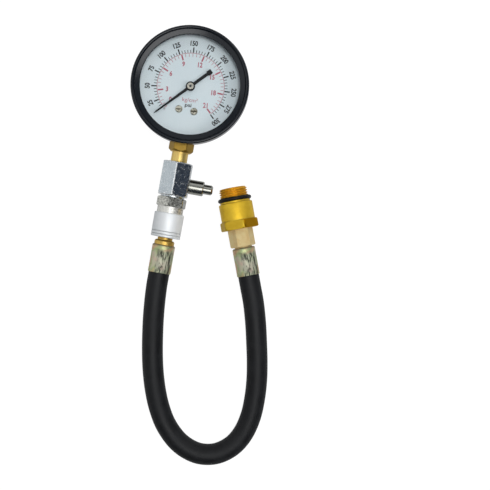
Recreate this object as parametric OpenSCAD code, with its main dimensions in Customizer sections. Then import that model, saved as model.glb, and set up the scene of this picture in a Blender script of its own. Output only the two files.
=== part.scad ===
// Compression tester gauge: a dial gauge on a tee with a pressure release valve, a quick coupler
// below it, and a hose that ends in a threaded adaptor for a spark plug hole.
// Frame: the origin is where the dial's axis meets the back of the case, +Z faces out of the dial,
// and the stem leaves the case along -Y. Every length is in millimetres.

/* [Case] */
// Outside diameter of the case
case_d = 68; // [66:0.5:69]
// Thickness of the case's sheet metal
case_wall = 0.9; // [0.6:0.1:1.2]
// Radius of the case's rounded back edge
case_corner_r = 4; // [2:0.5:6]
// Depth of the gauge from its back to the front of the bezel
gauge_depth = 31; // [30:0.5:36]

/* [Bezel and lens] */
// Outside diameter of the bezel
bezel_d = 73.4; // [72.8:0.2:78]
// Thickness of the bezel's skirt
bezel_wall = 1.1; // [0.8:0.1:1.3]
// Height of the bezel's skirt
bezel_skirt = 7.5; // [6.5:0.1:9]
// Width of the bezel's face, from its edge to the opening that shows the dial
bezel_face = 5.7; // [4:0.1:8]
// Thickness of the bezel's lip over the lens
bezel_lip = 1.6; // [1.2:0.1:2.2]
// Radius of the rolled bead round the bezel's front
bezel_bead_r = 1.15; // [0.8:0.05:1.3]
// Thickness of the lens
lens_t = 2; // [1.5:0.1:3]
// Thickness of the gasket under the lens
gasket_t = 0.6; // [0.4:0.1:1]

/* [Dial and pointer] */
// Depth from the front of the bezel to the face of the dial
dial_depth = 9; // [8:0.1:10]
// Thickness of the dial
dial_t = 0.5; // [0.3:0.1:0.8]
// Distance of each dial screw from the centre line
dial_screw_x = 4.8; // [4:0.1:6]
// Distance of the dial screws below the centre
dial_screw_y = 15; // [13:0.1:16]
// Head diameter of the dial screws
dial_screw_d = 4.5; // [3.5:0.1:5]
// Head height of the dial screws
dial_screw_h = 0.8; // [0.5:0.1:0.9]
// Radius that the pointer's tip reaches
pointer_tip_r = 28.6; // [25:0.1:29.5]
// Radius that the pointer's tail reaches
pointer_tail_r = 16.3; // [14:0.1:18]
// Width of the pointer's shaft
pointer_w = 1.9; // [1:0.1:2]
// Side of the square paddle on the pointer's tail
paddle_w = 3; // [2:0.1:4]
// Diameter of the pointer's boss
pointer_boss_d = 5.8; // [5:0.1:7]
// Diameter of the bush in the pointer's boss
bush_d = 4.3; // [3.5:0.1:4.6]
// Angle of the pointer at rest, against the clock from the top of the dial
pointer_rest = 136; // [120:1:150]
// Distance of the stop pin from the centre
stop_pin_r = 21.3; // [18:0.1:24]

/* [Movement] */
// Module of the gear teeth
gear_module = 0.3; // [0.28:0.01:0.34]
// Teeth on the pinion
pinion_teeth = 12; // [12:1:13]
// Turns of the pinion for one turn of the sector
gear_ratio = 7; // [7:1:8]
// Travel of the pointer in degrees
pointer_travel = 272; // [240:1:275]
// Direction of the sector's pivot from the centre, in degrees
sector_dir = -28; // [-34:1:-24]
// Distance from the sector's pivot to the link's pin
tail_r = 5; // [4:0.1:6]
// Thickness of the movement's plates
plate_t = 1; // [0.8:0.1:1.2]
// Gap between the movement's plates
plate_gap = 5.5; // [5.4:0.1:6]
// Radius of the curved pressure tube at the middle of its wall
tube_r = 26; // [25:0.1:28]
// Width of the pressure tube along the dial's axis
tube_w = 9; // [7:0.1:10]
// Thickness of the pressure tube across its curve
tube_t = 3; // [2.4:0.1:3.6]
// Wall of the pressure tube
tube_wall = 0.5; // [0.3:0.1:0.8]
// Direction of the pressure tube's free end, in degrees
tube_end = -20; // [-24:1:-14]

/* [Stem] */
// Height of the stem's axis above the back of the case
stem_z = 12.5; // [12.5:0.1:13]
// Width across the flats of the stem's shank
shank_af = 14; // [12:0.1:15]
// Length of the shank outside the case
shank_len = 6.8; // [5:0.1:9]
// Diameter of the neck below the shank
neck_d = 10.4; // [10:0.1:12]
// Length of the neck
neck_len = 6.7; // [4:0.1:8]
// Diameter of the pipe threads
pipe_d = 9.7; // [9:0.1:10.2]
// Length of the stem's thread inside the tee
stem_thread_len = 8.5; // [7:0.1:9]
// Diameter of the gas passage
gas_d = 3.5; // [2.5:0.1:4]

/* [Tee and release valve] */
// Width across the flats of the tee
tee_af = 18; // [17:0.1:20]
// Length of the tee's hexagon
tee_len = 21.4; // [20.5:0.1:24]
// Diameter of the tee's round collar
tee_collar_d = 15.3; // [13:0.1:16]
// Length of the tee's round collar
tee_collar_len = 1.3; // [1:0.1:3]
// Distance from the top of the tee to the valve's axis
valve_drop = 13.8; // [13.5:0.1:16]
// Outside diameter of the release valve
valve_d = 9.4; // [9:0.1:11]
// Length of the release valve outside the tee
valve_len = 9.7; // [9:0.1:12]
// Diameter of the valve's thread
valve_thread_d = 8; // [7:0.1:8.5]
// Diameter of the push button
button_d = 6.3; // [5.5:0.1:6.6]
// Length of the push button outside the valve
button_len = 5.8; // [4:0.1:8]
// Travel of the push button
button_travel = 2.4; // [1.5:0.1:2.6]

/* [Quick coupler] */
// Width across the flats of the coupler's hexagon
coupler_af = 17; // [16:0.1:18]
// Length of the coupler's hexagon
coupler_hex_len = 6; // [5.6:0.1:8]
// Turn of the coupler's hexagon, in degrees
coupler_hex_turn = -22; // [-30:1:30]
// Diameter of the coupler's shoulder
shoulder_d = 16.6; // [16:0.1:17]
// Length of the shoulder that shows above the sleeve
shoulder_len = 4; // [4:0.1:6]
// Diameter of the coupler's barrel under the sleeve
barrel_d = 13; // [12.6:0.1:13.2]
// Outside diameter of the sliding sleeve
sleeve_d = 18.9; // [18.4:0.1:20]
// Length of the sliding sleeve
sleeve_len = 15.7; // [15:0.1:17]
// Travel of the sliding sleeve
sleeve_travel = 3.6; // [3:0.1:3.6]
// Diameter of the locking balls
ball_d = 3; // [2.8:0.1:3.1]
// Number of locking balls
ball_count = 4; // [3:1:4]

/* [Hose] */
// Diameter of the brass plug in the coupler
plug_d = 9.5; // [9.2:0.1:9.7]
// Length of the plug's nose above its groove
plug_nose_len = 12.3; // [11:0.1:12.6]
// Gap between the sleeve and the plug's collar
plug_gap = 1.7; // [1:0.1:3]
// Diameter of the plug's collar
plug_collar_d = 12.7; // [11:0.1:14]
// Length of the plug's collar
plug_collar_len = 3; // [2:0.1:4]
// Outside diameter of the hose
hose_d = 13.4; // [12:0.1:14]
// Outside diameter of the crimped ferrules
ferrule_d = 14.5; // [14.2:0.1:16]
// Length of the ferrules
ferrule_len = 18; // [16:0.1:20]
// Direction of the hose's far end, in degrees against the clock from +Y
hose_end_turn = 20.4; // [18:0.1:23]

/* [Spark plug adaptor] */
// Width across the flats of the hose's end fitting
fitting_af = 14; // [13:0.1:15]
// Length of the hose's end fitting
fitting_len = 11.4; // [8:0.1:13]
// Turn of the end fitting, in degrees
fitting_turn = 6; // [-30:1:30]
// Diameter of the end fitting's thread
fitting_thread_d = 13.8; // [13:0.1:14]
// Width across the flats of the adaptor's flange
flange_af = 22; // [21.6:0.1:23]
// Length of the adaptor's flange
flange_len = 5.6; // [5:0.1:8]
// Turn of the adaptor's flange, in degrees
flange_turn = -15; // [-30:1:30]
// Diameter of the adaptor's round body
adaptor_d = 21.5; // [20.5:0.1:21.6]
// Length of the adaptor's round body
adaptor_len = 11.3; // [9.6:0.1:13]
// Diameter of the spark plug thread
plug_thread_d = 18; // [17.6:0.1:18.4]
// Length of the spark plug thread
plug_thread_len = 5.6; // [5:0.1:10]
// Thickness of the adaptor's seal ring
seal_t = 2.5; // [2:0.1:3]
// Diameter of the adaptor's gas hole
gas_hole_d = 8; // [6:0.1:10]

/* [Fits] */
// Radial clearance of turning and sliding fits
running = 0.05; // [0.03:0.01:0.08]
// Radial clearance of seats that don't move
seat = 0.04; // [0.02:0.01:0.08]
// Clear gap between faces that pass each other
pass = 0.2; // [0.1:0.05:0.3]

/* [Hidden] */
$fn = 96;

// Overlap of the shapes that make up one solid
join = 0.5;

// Heights of the case, the lens and the dial
case_r = case_d / 2;
case_in_r = case_r - case_wall;
bezel_r = bezel_d / 2;
bezel_open_d = bezel_d - 2 * bezel_face;
lens_top = gauge_depth - bezel_lip;
lens_bottom = lens_top - lens_t;
rim_z = lens_bottom - gasket_t;
rim_r = bezel_r - bezel_wall - seat;
bezel_hook = 2.66;
neck_r = bezel_r - bezel_hook - seat;
neck_in_r = neck_r - case_wall;
dial_z = gauge_depth - dial_depth;
dial_back = dial_z - dial_t;
dial_r = min(case_in_r, neck_in_r) - 0.4;

// Pointer, its bush and the stop pin
pointer_t = 0.5;
pointer_z = dial_z + dial_screw_h + 2 * pass;
boss_h = 1.2;
bush_lip = 0.5;
bush_shank_d = bush_d - 1.4;
shaft_r = 0.8;
stop_pin_d = 1;
stop_pin_lead = asin((pointer_w / 2 + stop_pin_d / 2 + running) / stop_pin_r);
dial_screw_shank_d = 2.2;
slot_w = 0.7;

// Heights of the movement, from the dial down to the socket's platform
spacer_len = 2;
front_plate_top = dial_back - spacer_len;
front_plate_z = front_plate_top - plate_t;
back_plate_top = front_plate_z - plate_gap;
platform_z = back_plate_top - plate_t;
link_t = 0.9;
link_z = back_plate_top + pass;
sector_t = 1;
sector_z = link_z + link_t + pass;
spring_h = 0.8;
spring_z = front_plate_z - spring_h - 1;
pivot_r = 0.6;
arbor_r = 0.8;

// Gear train: the pinion stands at the centre and the sector's pivot at sector_pos
pressure_angle = 20;
backlash = 0.06;
sector_teeth = pinion_teeth * gear_ratio;
tooth_pitch = 360 / sector_teeth;
gear_distance = gear_module * (pinion_teeth + sector_teeth) / 2;
sector_pos = gear_distance * [cos(sector_dir), sin(sector_dir)];
spare_teeth = 2;
first_tooth = -ceil(pointer_travel / gear_ratio / tooth_pitch) - spare_teeth;
sector_hub_r = 2.2;
tail_w = 2.6;
tail_dir = -98;
tail_pos = sector_pos + tail_r * [cos(tail_dir), sin(tail_dir)];
collet_r = 2;
hair_w = 0.2;
hair_turns = 4;
hair_r = 5.2;
stud_r = 0.7;

// Plates: pillars and screws, over the socket's block
movement_screw_y = dial_screw_y + 3;
movement_screw_d = 3.6;
pillar_r = 1.5;
block_w = 16;
pillar_x = pillar_r - block_w / 2;
pillar_left = [pillar_x, 4];
pillar_low = [pillar_x, -11.5];
pillar_right = sector_pos + 0.8 * gear_distance * [cos(80), sin(80)];
plate_edge = 2.4;

// Pressure tube and its tip
block_bottom = 6;
block_gap = 1;
block_top = dial_back - block_gap;
block_y = movement_screw_y + 4;
block_end_y = sqrt(pow(case_in_r, 2) - pow(block_w / 2, 2)) - 0.6;
tube_seat = 2.6;
tube_root = 270 - asin((block_w / 2 - tube_seat) / tube_r);
tip_angle = 8;
tip_rim = 0.4;
lug_reach = 4.5;
lug_w = 2.6;
lug_z = link_z + link_t + pass;
lug_t = 1;
tip_dir = tube_end - tip_angle / 2;
tip_pos = (tube_r - lug_reach) * [cos(tip_dir), sin(tip_dir)];
link_w = 2.4;

// Distances along the stem from the dial's axis
st_neck = case_r + shank_len;
st_tee = st_neck + neck_len;
st_collar = st_tee + tee_len;
st_hex = st_collar + tee_collar_len;
st_shoulder = st_hex + coupler_hex_len;
st_sleeve = st_shoulder + shoulder_len;
st_sleeve_end = st_sleeve + sleeve_len;
st_plug_collar = st_sleeve_end + plug_gap;
st_ferrule = st_plug_collar + plug_collar_len;
st_hose = st_ferrule + ferrule_len;
st_valve = st_tee + valve_drop;

// Turned corners of the hexagons
shank_turned_d = shank_af / cos(30) - 0.35;
tee_turned_d = tee_af / cos(30);
coupler_turned_d = coupler_af / cos(30) - 0.4;
hex_chamfer = 0.55;
shank_chamfer = 1.5;

// Release valve, measured outwards from the tee's flat
valve_thread_len = 4.6;
valve_lip = 2;
valve_floor = 1.5;
valve_chamber_r = button_d / 2 + 0.55;
button_flange_r = valve_chamber_r - 0.1;
button_flange_t = 1;
button_flange_v = valve_len - valve_lip - pass - button_flange_t;
button_stem_r = 1.2;
valve_hole_r = button_stem_r + 0.5;
valve_head_r = 2.2;
valve_head_t = 0.8;
release_seal_t = 0.8;
valve_seat_v = -2.9;
side_hole_r = valve_head_r + 0.5;
release_wire_d = 0.7;

// Coupler: the stub thread, the plug's groove, the balls and the sleeve's land
stub_len = 5.2;
plug_groove_w = ball_d + 0.4;
plug_neck_len = 4.1;
st_ball = st_plug_collar - plug_neck_len - plug_groove_w / 2;
st_nose = st_ball - plug_groove_w / 2 - plug_nose_len;
land_r = barrel_d / 2 + running;
ball_r = land_r - running - ball_d / 2;
plug_groove_r = ball_r - ball_d / 2 - running;
land_start = st_ball - ball_d / 2 - 0.8;
land_end = st_ball + ball_d / 2 + 0.1;
ring_t = 0.8;
ring_depth = 0.5;
ring_r = barrel_d / 2 + 0.8;
st_ring = land_end + running;
barrel_end = st_ring + ring_t + 0.7;
mouth_r = ring_r + 0.6;
shoulder_end = st_sleeve + 2;
sleeve_wire_d = 1;
seal_wire_d = 1.7;
st_seal = shoulder_end - seal_wire_d - 0.3;

// Hose ends: ferrules and barbed tails
ferrule_end_t = 1.2;
crimp_depth = 0.2;
crimp_flats = 8;
tail_out_r = 3.35;
tail_in_r = 2.9;
tail_len = ferrule_len - 2;
barb_count = 4;

// Distances along the far end from the second ferrule's mouth
fitting_neck_len = 0.7;
fitting_neck_r = 5.6;
fitting_turned_d = fitting_af / cos(30);
end_hex = ferrule_len + fitting_neck_len;
end_flange = end_hex + fitting_len;
end_body = end_flange + flange_len;
end_step = end_body + adaptor_len;
seal_step = 1.1;
end_thread = end_step + seal_step + seal_t + 2 * pass;
end_tip = end_thread + plug_thread_len;
seal_step_r = plug_thread_d / 2 + 0.6;
seal_land_r = plug_thread_d / 2 - 0.8;
flange_turned_d = flange_af / cos(30) - 0.3;
thread_chamfer = 0.9;
fitting_thread_len = flange_len + adaptor_len - 1.2;

// Check valve in the tip of the end fitting
core_r = 2.65;
core_len = 6.5;
core_top = end_flange + fitting_thread_len - 0.3;
core_bore_len = core_len + 3;
pin_r = 0.7;
pin_head_r = 1.9;
pin_head_t = 1.3;
pin_cap_t = 0.6;
pin_cap_r = 1.5;
pin_rise = 2.6;
check_wire_d = 0.35;

// Route of the hose from the first ferrule's mouth: x, distance along -Y, and the share of the
// height by which its axis is lifted from the surface it lies on to the stem's axis
ROUTE = [
    [0, 0, 1], [0, 8, 1], [0.4, 17, 0.95], [1.2, 27, 0.86], [2.5, 38, 0.74], [4.5, 51, 0.57], [7, 63, 0.41],
    [10.5, 75, 0.25], [15, 86, 0.12], [21, 96, 0.04], [29.5, 104.5, 0], [38.5, 109.2, 0],
    [47.5, 110.6, 0], [57, 108.3, 0], [65.5, 101.8, 0], [71, 92.5, 0.03], [73.8, 81, 0.1],
    [74.3, 69, 0.21], [73.5, 57, 0.36], [71.7, 45.5, 0.51], [69.2, 33.5, 0.67], [66.3, 21, 0.83],
    [62.8, 8.8, 0.96], [59.3, -0.7, 1], [56.5, -8.2, 1]];
hose_sides = 12;
rings_per_point = 2;
hose_low = hose_d / 2 + seat;
function route_point(p) = [p.x, -st_hose - p.y, hose_low + p.z * (stem_z - hose_low)];
end_pos = route_point(ROUTE[len(ROUTE) - 1]);
end_axis = [-sin(hose_end_turn), cos(hose_end_turn), 0];
hose_inset = ferrule_len - ferrule_end_t - seat;
hose_path = concat(
    [[0, -st_hose + hose_inset, stem_z]],
    [for (p = ROUTE) route_point(p)],
    [end_pos + hose_inset * end_axis]);

// Shared shapes

// Stands local +Z along the stem, so that a local height is a distance from the dial's axis
module along_stem() {
    translate([0, 0, stem_z]) rotate([90, 0, 0]) children();
}

// Stands local +Z along the release valve, with the tee's flat at zero
module along_valve() {
    translate([tee_af / 2, -st_valve, stem_z]) rotate([0, 90, 0]) children();
}

// Stands local +Z along the far end, with the second ferrule's mouth at zero
module along_end() {
    translate(end_pos) rotate([0, 0, hose_end_turn]) rotate([-90, 0, 0]) children();
}

// Solid of revolution from a list of [radius, height] points
module turned(profile) {
    rotate_extrude() polygon(profile);
}

// Plain ring or tube between two heights
module tube(r_out, r_in, z0, z1) {
    turned([[r_in, z0], [r_out, z0], [r_out, z1], [r_in, z1]]);
}

// Hexagon bar whose corners are turned off at the ends that are asked for
module hex_bar(af, turned_d, z0, z1, low = true, high = true, cut = hex_chamfer, slope = 30) {
    drop = cut / tan(slope);
    r = turned_d / 2;
    intersection() {
        translate([0, 0, z0]) cylinder(d = af / cos(30), h = z1 - z0, $fn = 6);
        turned([[0, z0], [low ? r - drop : r, z0], [r, low ? z0 + cut : z0],
            [r, high ? z1 - cut : z1], [high ? r - drop : r, z1], [0, z1]]);
    }
}

// Filled half section of a cup with a rounded lower edge
module cup_section(r, h, corner) {
    square([r - corner, h]);
    translate([0, corner]) square([r, h - corner]);
    translate([r - corner, corner]) circle(corner);
}

// Outline at distance r round a convex list of corners, given clockwise: round the ends of a bar
// where there are two
function rounded(p, r, steps = 12) = [for (i = [0:len(p) - 1])
    let (n = len(p), before = p[i] - p[(i + n - 1) % n], after = p[(i + 1) % n] - p[i],
        from = atan2(before.y, before.x) + 90, to = atan2(after.y, after.x) + 90,
        turn = (from - to + 720) % 360)
    for (k = [0:steps]) let (a = from - turn * k / steps) p[i] + r * [cos(a), sin(a)]];

// Flat bar with round ends between two points
module bar2d(p, q, w) {
    polygon(rounded([p, q], w / 2));
}

// Plate with a round edge about the corners that are listed
module plate(corners, z) {
    translate([0, 0, z]) linear_extrude(plate_t) polygon(rounded(corners, plate_edge));
}

// Outline of a barbed tail from its root height, pointing along +Z or, with way = -1, along -Z
function barbs(z0, way) = [for (i = [0:barb_count - 1], k = [0, 1])
    [k == 0 ? tail_out_r : tail_in_r, z0 + way * tail_len * (i + k * 0.9) / barb_count]];

// Involute flanks: half angle of a tooth at radius r, and the outline of one tooth
function involute(a) = tan(a) * 180 / PI - a;
function half_tooth(teeth, r) =
    let (pitch_r = gear_module * teeth / 2, base_r = pitch_r * cos(pressure_angle))
    90 / teeth - backlash / 2 / pitch_r * 180 / PI + involute(pressure_angle)
    - involute(acos(base_r / max(r, base_r)));
function tooth(teeth, addendum, dedendum, middle, steps = 4) =
    let (root = gear_module * (teeth / 2 - dedendum), tip = gear_module * (teeth / 2 + addendum))
    [for (side = [-1, 1], i = [0:steps])
        let (r = root + (tip - root) * (side < 0 ? i : steps - i) / steps,
            a = middle + side * half_tooth(teeth, r))
        r * [cos(a), sin(a)]];

// Tube of round section swept along points, with its rings kept upright
function unit(v) = v / norm(v);
function catmull(p, i, t) =
    let (n = len(p) - 1, a = p[max(i - 1, 0)], b = p[i], c = p[min(i + 1, n)], d = p[min(i + 2, n)])
    (2 * b + (c - a) * t + (2 * a - 5 * b + 4 * c - d) * t * t + (3 * b - a - 3 * c + d) * t * t * t) / 2;
function smooth(p, steps) = concat(
    [for (i = [0:len(p) - 2], k = [0:steps - 1]) catmull(p, i, k / steps)], [p[len(p) - 1]]);
module sweep(path, r, sides) {
    n = len(path);
    points = [for (i = [0:n - 1])
        let (t = unit(path[min(i + 1, n - 1)] - path[max(i - 1, 0)]),
            across = unit(cross(t, [0, 0, 1])), up = cross(across, t))
        for (k = [0:sides - 1])
            path[i] + r * (cos(360 * k / sides) * across + sin(360 * k / sides) * up)];
    walls = [for (i = [0:n - 2], k = [0:sides - 1])
        let (m = (k + 1) % sides)
        [i * sides + k, i * sides + m, (i + 1) * sides + m, (i + 1) * sides + k]];
    polyhedron(points, concat([[for (k = [sides - 1:-1:0]) k]], walls,
        [[for (k = [0:sides - 1]) (n - 1) * sides + k]]), convexity = 6);
}

// Coil spring between two heights, touching both with its end turns
module coil(mean_r, wire_d, z0, z1, turns, steps = 14) {
    n = turns * steps;
    rise = z1 - z0 - wire_d;
    sweep([for (i = [0:n])
        [mean_r * cos(360 * i / steps), mean_r * sin(360 * i / steps), z0 + wire_d / 2 + rise * i / n]],
        wire_d / 2 * 0.98, 6);
}

// Case, bezel, lens and dial

module case_shell() {
    neck_z = gauge_depth - bezel_skirt - pass;
    wall_top = neck_z - 2 * case_wall;
    color("#1c1d1f") difference() {
        rotate_extrude() {
            difference() {
                cup_section(case_r, wall_top, case_corner_r);
                translate([0, case_wall])
                    cup_section(case_in_r, wall_top, case_corner_r - case_wall);
            }
            polygon([[case_in_r, wall_top - join], [case_r, wall_top - join], [case_r, wall_top],
                [neck_r, neck_z], [neck_r, rim_z - case_wall], [rim_r, rim_z - case_wall], [rim_r, rim_z],
                [neck_in_r, rim_z], [neck_in_r, neck_z], [case_in_r, wall_top]]);
        }
        along_stem() translate([0, 0, case_r - 3]) cylinder(d = shank_turned_d + 2 * seat, h = 6);
    }
}

module bezel_ring() {
    skirt_z = gauge_depth - bezel_skirt;
    hook_top = rim_z - case_wall - seat;
    bead = [bezel_r - bezel_bead_r, gauge_depth - bezel_bead_r];
    groove_r = bezel_r - 2 * bezel_bead_r;
    open_r = bezel_open_d / 2;
    color("#17181a") rotate_extrude() {
        translate([bezel_r - bezel_hook, skirt_z]) square([bezel_hook, hook_top - skirt_z]);
        translate([bezel_r - bezel_wall, skirt_z]) square([bezel_wall, bead.y - skirt_z]);
        translate([open_r, lens_top]) square([bezel_r - bezel_wall - open_r, 0.2 * bezel_lip]);
        polygon([[open_r, lens_top], [bezel_r, lens_top], [bezel_r, bead.y], [groove_r, bead.y],
            [groove_r - 0.2, gauge_depth - 0.25 * bezel_lip], [open_r + 0.3, lens_top + 0.35 * bezel_lip],
            [open_r, lens_top + 0.2 * bezel_lip]]);
        intersection() {
            translate(bead) circle(bezel_bead_r);
            translate([0, lens_top]) square(2 * bezel_r);
        }
    }
}

module lens_gasket() {
    color("#2a2a2a") tube(rim_r - 0.2, neck_in_r, rim_z, lens_bottom);
}

module lens() {
    color("#dfeef2", 0.3) translate([0, 0, lens_bottom]) cylinder(r = rim_r - 0.2, h = lens_t);
}

module dial_screw_places() {
    for (side = [-1, 1]) translate([side * dial_screw_x, -dial_screw_y, 0]) children();
}

module stop_pin_place() {
    rotate(90 + pointer_rest + stop_pin_lead) translate([stop_pin_r, 0, 0]) children();
}

module dial_plate() {
    color("#dfe8ec") difference() {
        translate([0, 0, dial_back]) cylinder(r = dial_r, h = dial_t);
        translate([0, 0, dial_back - 1]) cylinder(r = 2 * shaft_r, h = dial_t + 2);
        dial_screw_places() translate([0, 0, dial_back - 1])
            cylinder(d = dial_screw_shank_d + 2 * seat, h = dial_t + 2);
        stop_pin_place() translate([0, 0, dial_back - 1])
            cylinder(d = stop_pin_d + 2 * seat, h = dial_t + 2, $fn = 32);
    }
}

module dial_spacers() {
    color("#c9a24a") dial_screw_places()
        tube(dial_screw_d / 2, dial_screw_shank_d / 2 + seat, front_plate_top, dial_back);
}

module dial_screws() {
    slot_depth = 0.6 * dial_screw_h;
    color("#c8a052") dial_screw_places() difference() {
        union() {
            turned([[0, dial_z], [dial_screw_d / 2, dial_z], [dial_screw_d / 2, dial_z + 0.6 * dial_screw_h],
                [0.4 * dial_screw_d, dial_z + dial_screw_h], [0, dial_z + dial_screw_h]]);
            translate([0, 0, front_plate_z]) cylinder(d = dial_screw_shank_d, h = dial_z - front_plate_z);
        }
        rotate(5) translate([-dial_screw_d, -slot_w / 2, dial_z + dial_screw_h - slot_depth])
            cube([2 * dial_screw_d, slot_w, dial_screw_h]);
    }
}

module stop_pin() {
    color("#8d8f92") stop_pin_place() translate([0, 0, dial_back])
        cylinder(d = stop_pin_d, h = pointer_z + pointer_t + 0.4 - dial_back, $fn = 32);
}

// Pointer and gear train

module pointer() {
    tip_w = 0.5 * pointer_w;
    point_len = 2;
    color("#141414") rotate(90 + pointer_rest) translate([0, 0, pointer_z]) difference() {
        union() {
            linear_extrude(pointer_t) {
                polygon([[0, -pointer_w / 2], [pointer_tip_r - point_len, -tip_w / 2], [pointer_tip_r, 0],
                    [pointer_tip_r - point_len, tip_w / 2], [0, pointer_w / 2]]);
                translate([-pointer_tail_r, -pointer_w / 2]) square([pointer_tail_r, pointer_w]);
                translate([-pointer_tail_r, -paddle_w / 2]) square(paddle_w);
            }
            cylinder(d = pointer_boss_d, h = boss_h);
        }
        translate([0, 0, -1]) cylinder(d = bush_shank_d + 2 * seat, h = boss_h + 2);
    }
}

module pointer_bush() {
    top = pointer_z + boss_h + bush_lip;
    color("#d8c9a0") turned([[shaft_r + seat, pointer_z - pass], [bush_shank_d / 2, pointer_z - pass],
        [bush_shank_d / 2, pointer_z + boss_h], [bush_d / 2, pointer_z + boss_h],
        [bush_d / 2, top - 0.2], [bush_d / 2 - 0.2, top], [shaft_r + seat, top]]);
}

module pinion_shaft() {
    gear_z = sector_z - 0.4;
    gear_h = sector_t + 0.8;
    top = pointer_z + boss_h + bush_lip + 0.1;
    color("#b9bcc0") {
        turned([[0, platform_z + pass], [pivot_r, platform_z + pass], [pivot_r, back_plate_top + running],
            [shaft_r, back_plate_top + running], [shaft_r, spring_z - 0.2], [collet_r, spring_z - 0.2],
            [collet_r, spring_z + spring_h + 0.2], [shaft_r, spring_z + spring_h + 0.2],
            [shaft_r, top - 0.3], [shaft_r - 0.3, top], [0, top]]);
        translate([0, 0, gear_z]) linear_extrude(gear_h)
            polygon([for (i = [0:pinion_teeth - 1])
                each tooth(pinion_teeth, 0.9, 1.1, sector_dir + i * 360 / pinion_teeth)]);
    }
}

// Flat spiral from the pinion's collet out to the stud on the front plate
module hairspring() {
    steps = 24 * hair_turns;
    start_r = collet_r + seat + hair_w / 2;
    function spiral(i, side) =
        let (r = start_r + (hair_r - start_r) * i / steps + side * hair_w / 2,
            a = 360 * hair_turns * i / steps)
        r * [cos(a), sin(a)];
    color("#9aa3ad") translate([0, 0, spring_z]) linear_extrude(spring_h)
        polygon(concat([for (i = [0:steps]) spiral(i, 1)], [for (i = [steps:-1:0]) spiral(i, -1)]));
}

module sector_gear() {
    mesh_dir = sector_dir + 180;
    teeth = [for (i = [first_tooth:spare_teeth - 1])
        each tooth(sector_teeth, 0.65, 1.25, mesh_dir + (i + 0.5) * tooth_pitch)];
    window_in = 0.4 * gear_distance;
    window_out = 0.7 * gear_distance;
    window_from = mesh_dir + (first_tooth + 2.5) * tooth_pitch;
    window_to = mesh_dir + (spare_teeth - 2.5) * tooth_pitch;
    window_steps = 8;
    function window_arc(r, i) =
        let (a = window_from + (window_to - window_from) * i / window_steps) r * [cos(a), sin(a)];
    color("#cfa84f") translate([sector_pos.x, sector_pos.y, sector_z]) difference() {
        union() {
            linear_extrude(sector_t) polygon(concat([[0, 0]], teeth));
            cylinder(r = sector_hub_r, h = sector_t);
            linear_extrude(sector_t) bar2d([0, 0], tail_pos - sector_pos, tail_w);
        }
        translate([0, 0, -1]) linear_extrude(sector_t + 2) {
            polygon(concat([for (i = [0:window_steps]) window_arc(window_in, i)],
                [for (i = [window_steps:-1:0]) window_arc(window_out, i)]));
            circle(arbor_r + seat);
            translate(tail_pos - sector_pos) circle(pivot_r + seat, $fn = 32);
        }
    }
}

module sector_arbor() {
    color("#b9bcc0") translate(sector_pos) turned([
        [0, platform_z + pass], [pivot_r, platform_z + pass], [pivot_r, back_plate_top + running],
        [arbor_r, back_plate_top + running], [arbor_r, front_plate_z - running],
        [pivot_r, front_plate_z - running], [pivot_r, front_plate_top - pass], [0, front_plate_top - pass]]);
}

module link() {
    color("#cfa84f") translate([0, 0, link_z]) linear_extrude(link_t) difference() {
        bar2d(tail_pos, tip_pos, link_w);
        for (p = [tail_pos, tip_pos]) translate(p) circle(pivot_r + running, $fn = 32);
    }
}

module link_pin() {
    head_z = sector_z + sector_t;
    color("#b9bcc0") translate(tail_pos) turned([[0, link_z], [pivot_r, link_z], [pivot_r, head_z],
        [2 * pivot_r, head_z], [2 * pivot_r, head_z + pivot_r], [0, head_z + pivot_r]]);
}

// Movement plates

module shaft_holes(z) {
    translate([0, 0, z]) linear_extrude(3 * plate_t, center = true) {
        translate(sector_pos) circle(pivot_r + running, $fn = 32);
        children();
    }
}

module back_plate() {
    low = [[movement_screw_y * 0.27, -movement_screw_y], [-movement_screw_y * 0.27, -movement_screw_y]];
    color("#c9a24a") difference() {
        plate(concat([pillar_left, pillar_right, sector_pos], low), platform_z);
        shaft_holes(platform_z) circle(pivot_r + running, $fn = 32);
        movement_screw_places() translate([0, 0, platform_z - 1])
            cylinder(d = 0.6 * movement_screw_d + 2 * seat, h = plate_t + 2);
    }
}

module front_plate() {
    low = [[dial_screw_x, -dial_screw_y], [-dial_screw_x, -dial_screw_y]];
    color("#c9a24a") {
        difference() {
            plate(concat([pillar_left, pillar_right, sector_pos], low, [pillar_low]), front_plate_z);
            shaft_holes(front_plate_z) {
                circle(shaft_r + running, $fn = 32);
                for (p = low) translate(p) circle(dial_screw_shank_d / 2 + seat);
            }
        }
        translate([hair_r + hair_w / 2 + seat + stud_r, 0, spring_z])
            cylinder(r = stud_r, h = front_plate_z - spring_z + join);
    }
}

module plate_pillars() {
    color("#d4b360") for (p = [pillar_left, pillar_right, pillar_low]) translate([p.x, p.y, back_plate_top])
        cylinder(r = pillar_r, h = plate_gap);
}

module movement_screw_places() {
    for (side = [-1, 1]) translate([side * 0.27 * movement_screw_y, -movement_screw_y, 0]) children();
}

module movement_screws() {
    head_h = 1.2;
    depth = 3;
    color("#8d8f92") movement_screw_places() difference() {
        union() {
            translate([0, 0, back_plate_top]) cylinder(d = movement_screw_d, h = head_h);
            translate([0, 0, platform_z - depth]) cylinder(d = 0.6 * movement_screw_d, h = depth + plate_t);
        }
        translate([-movement_screw_d, -slot_w / 2, back_plate_top + head_h / 2])
            cube([2 * movement_screw_d, slot_w, head_h]);
    }
}

// Pressure tube, its tip and the socket

// Flat oval about the tube's middle radius, grown or shrunk by grow on every side
module oval_section(grow) {
    r = tube_t / 2 + grow;
    straight = tube_w - tube_t;
    for (side = [-1, 1]) translate([tube_r, stem_z + side * straight / 2]) circle(r, $fn = 48);
    translate([tube_r - r, stem_z - straight / 2]) square([2 * r, straight]);
}

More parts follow.
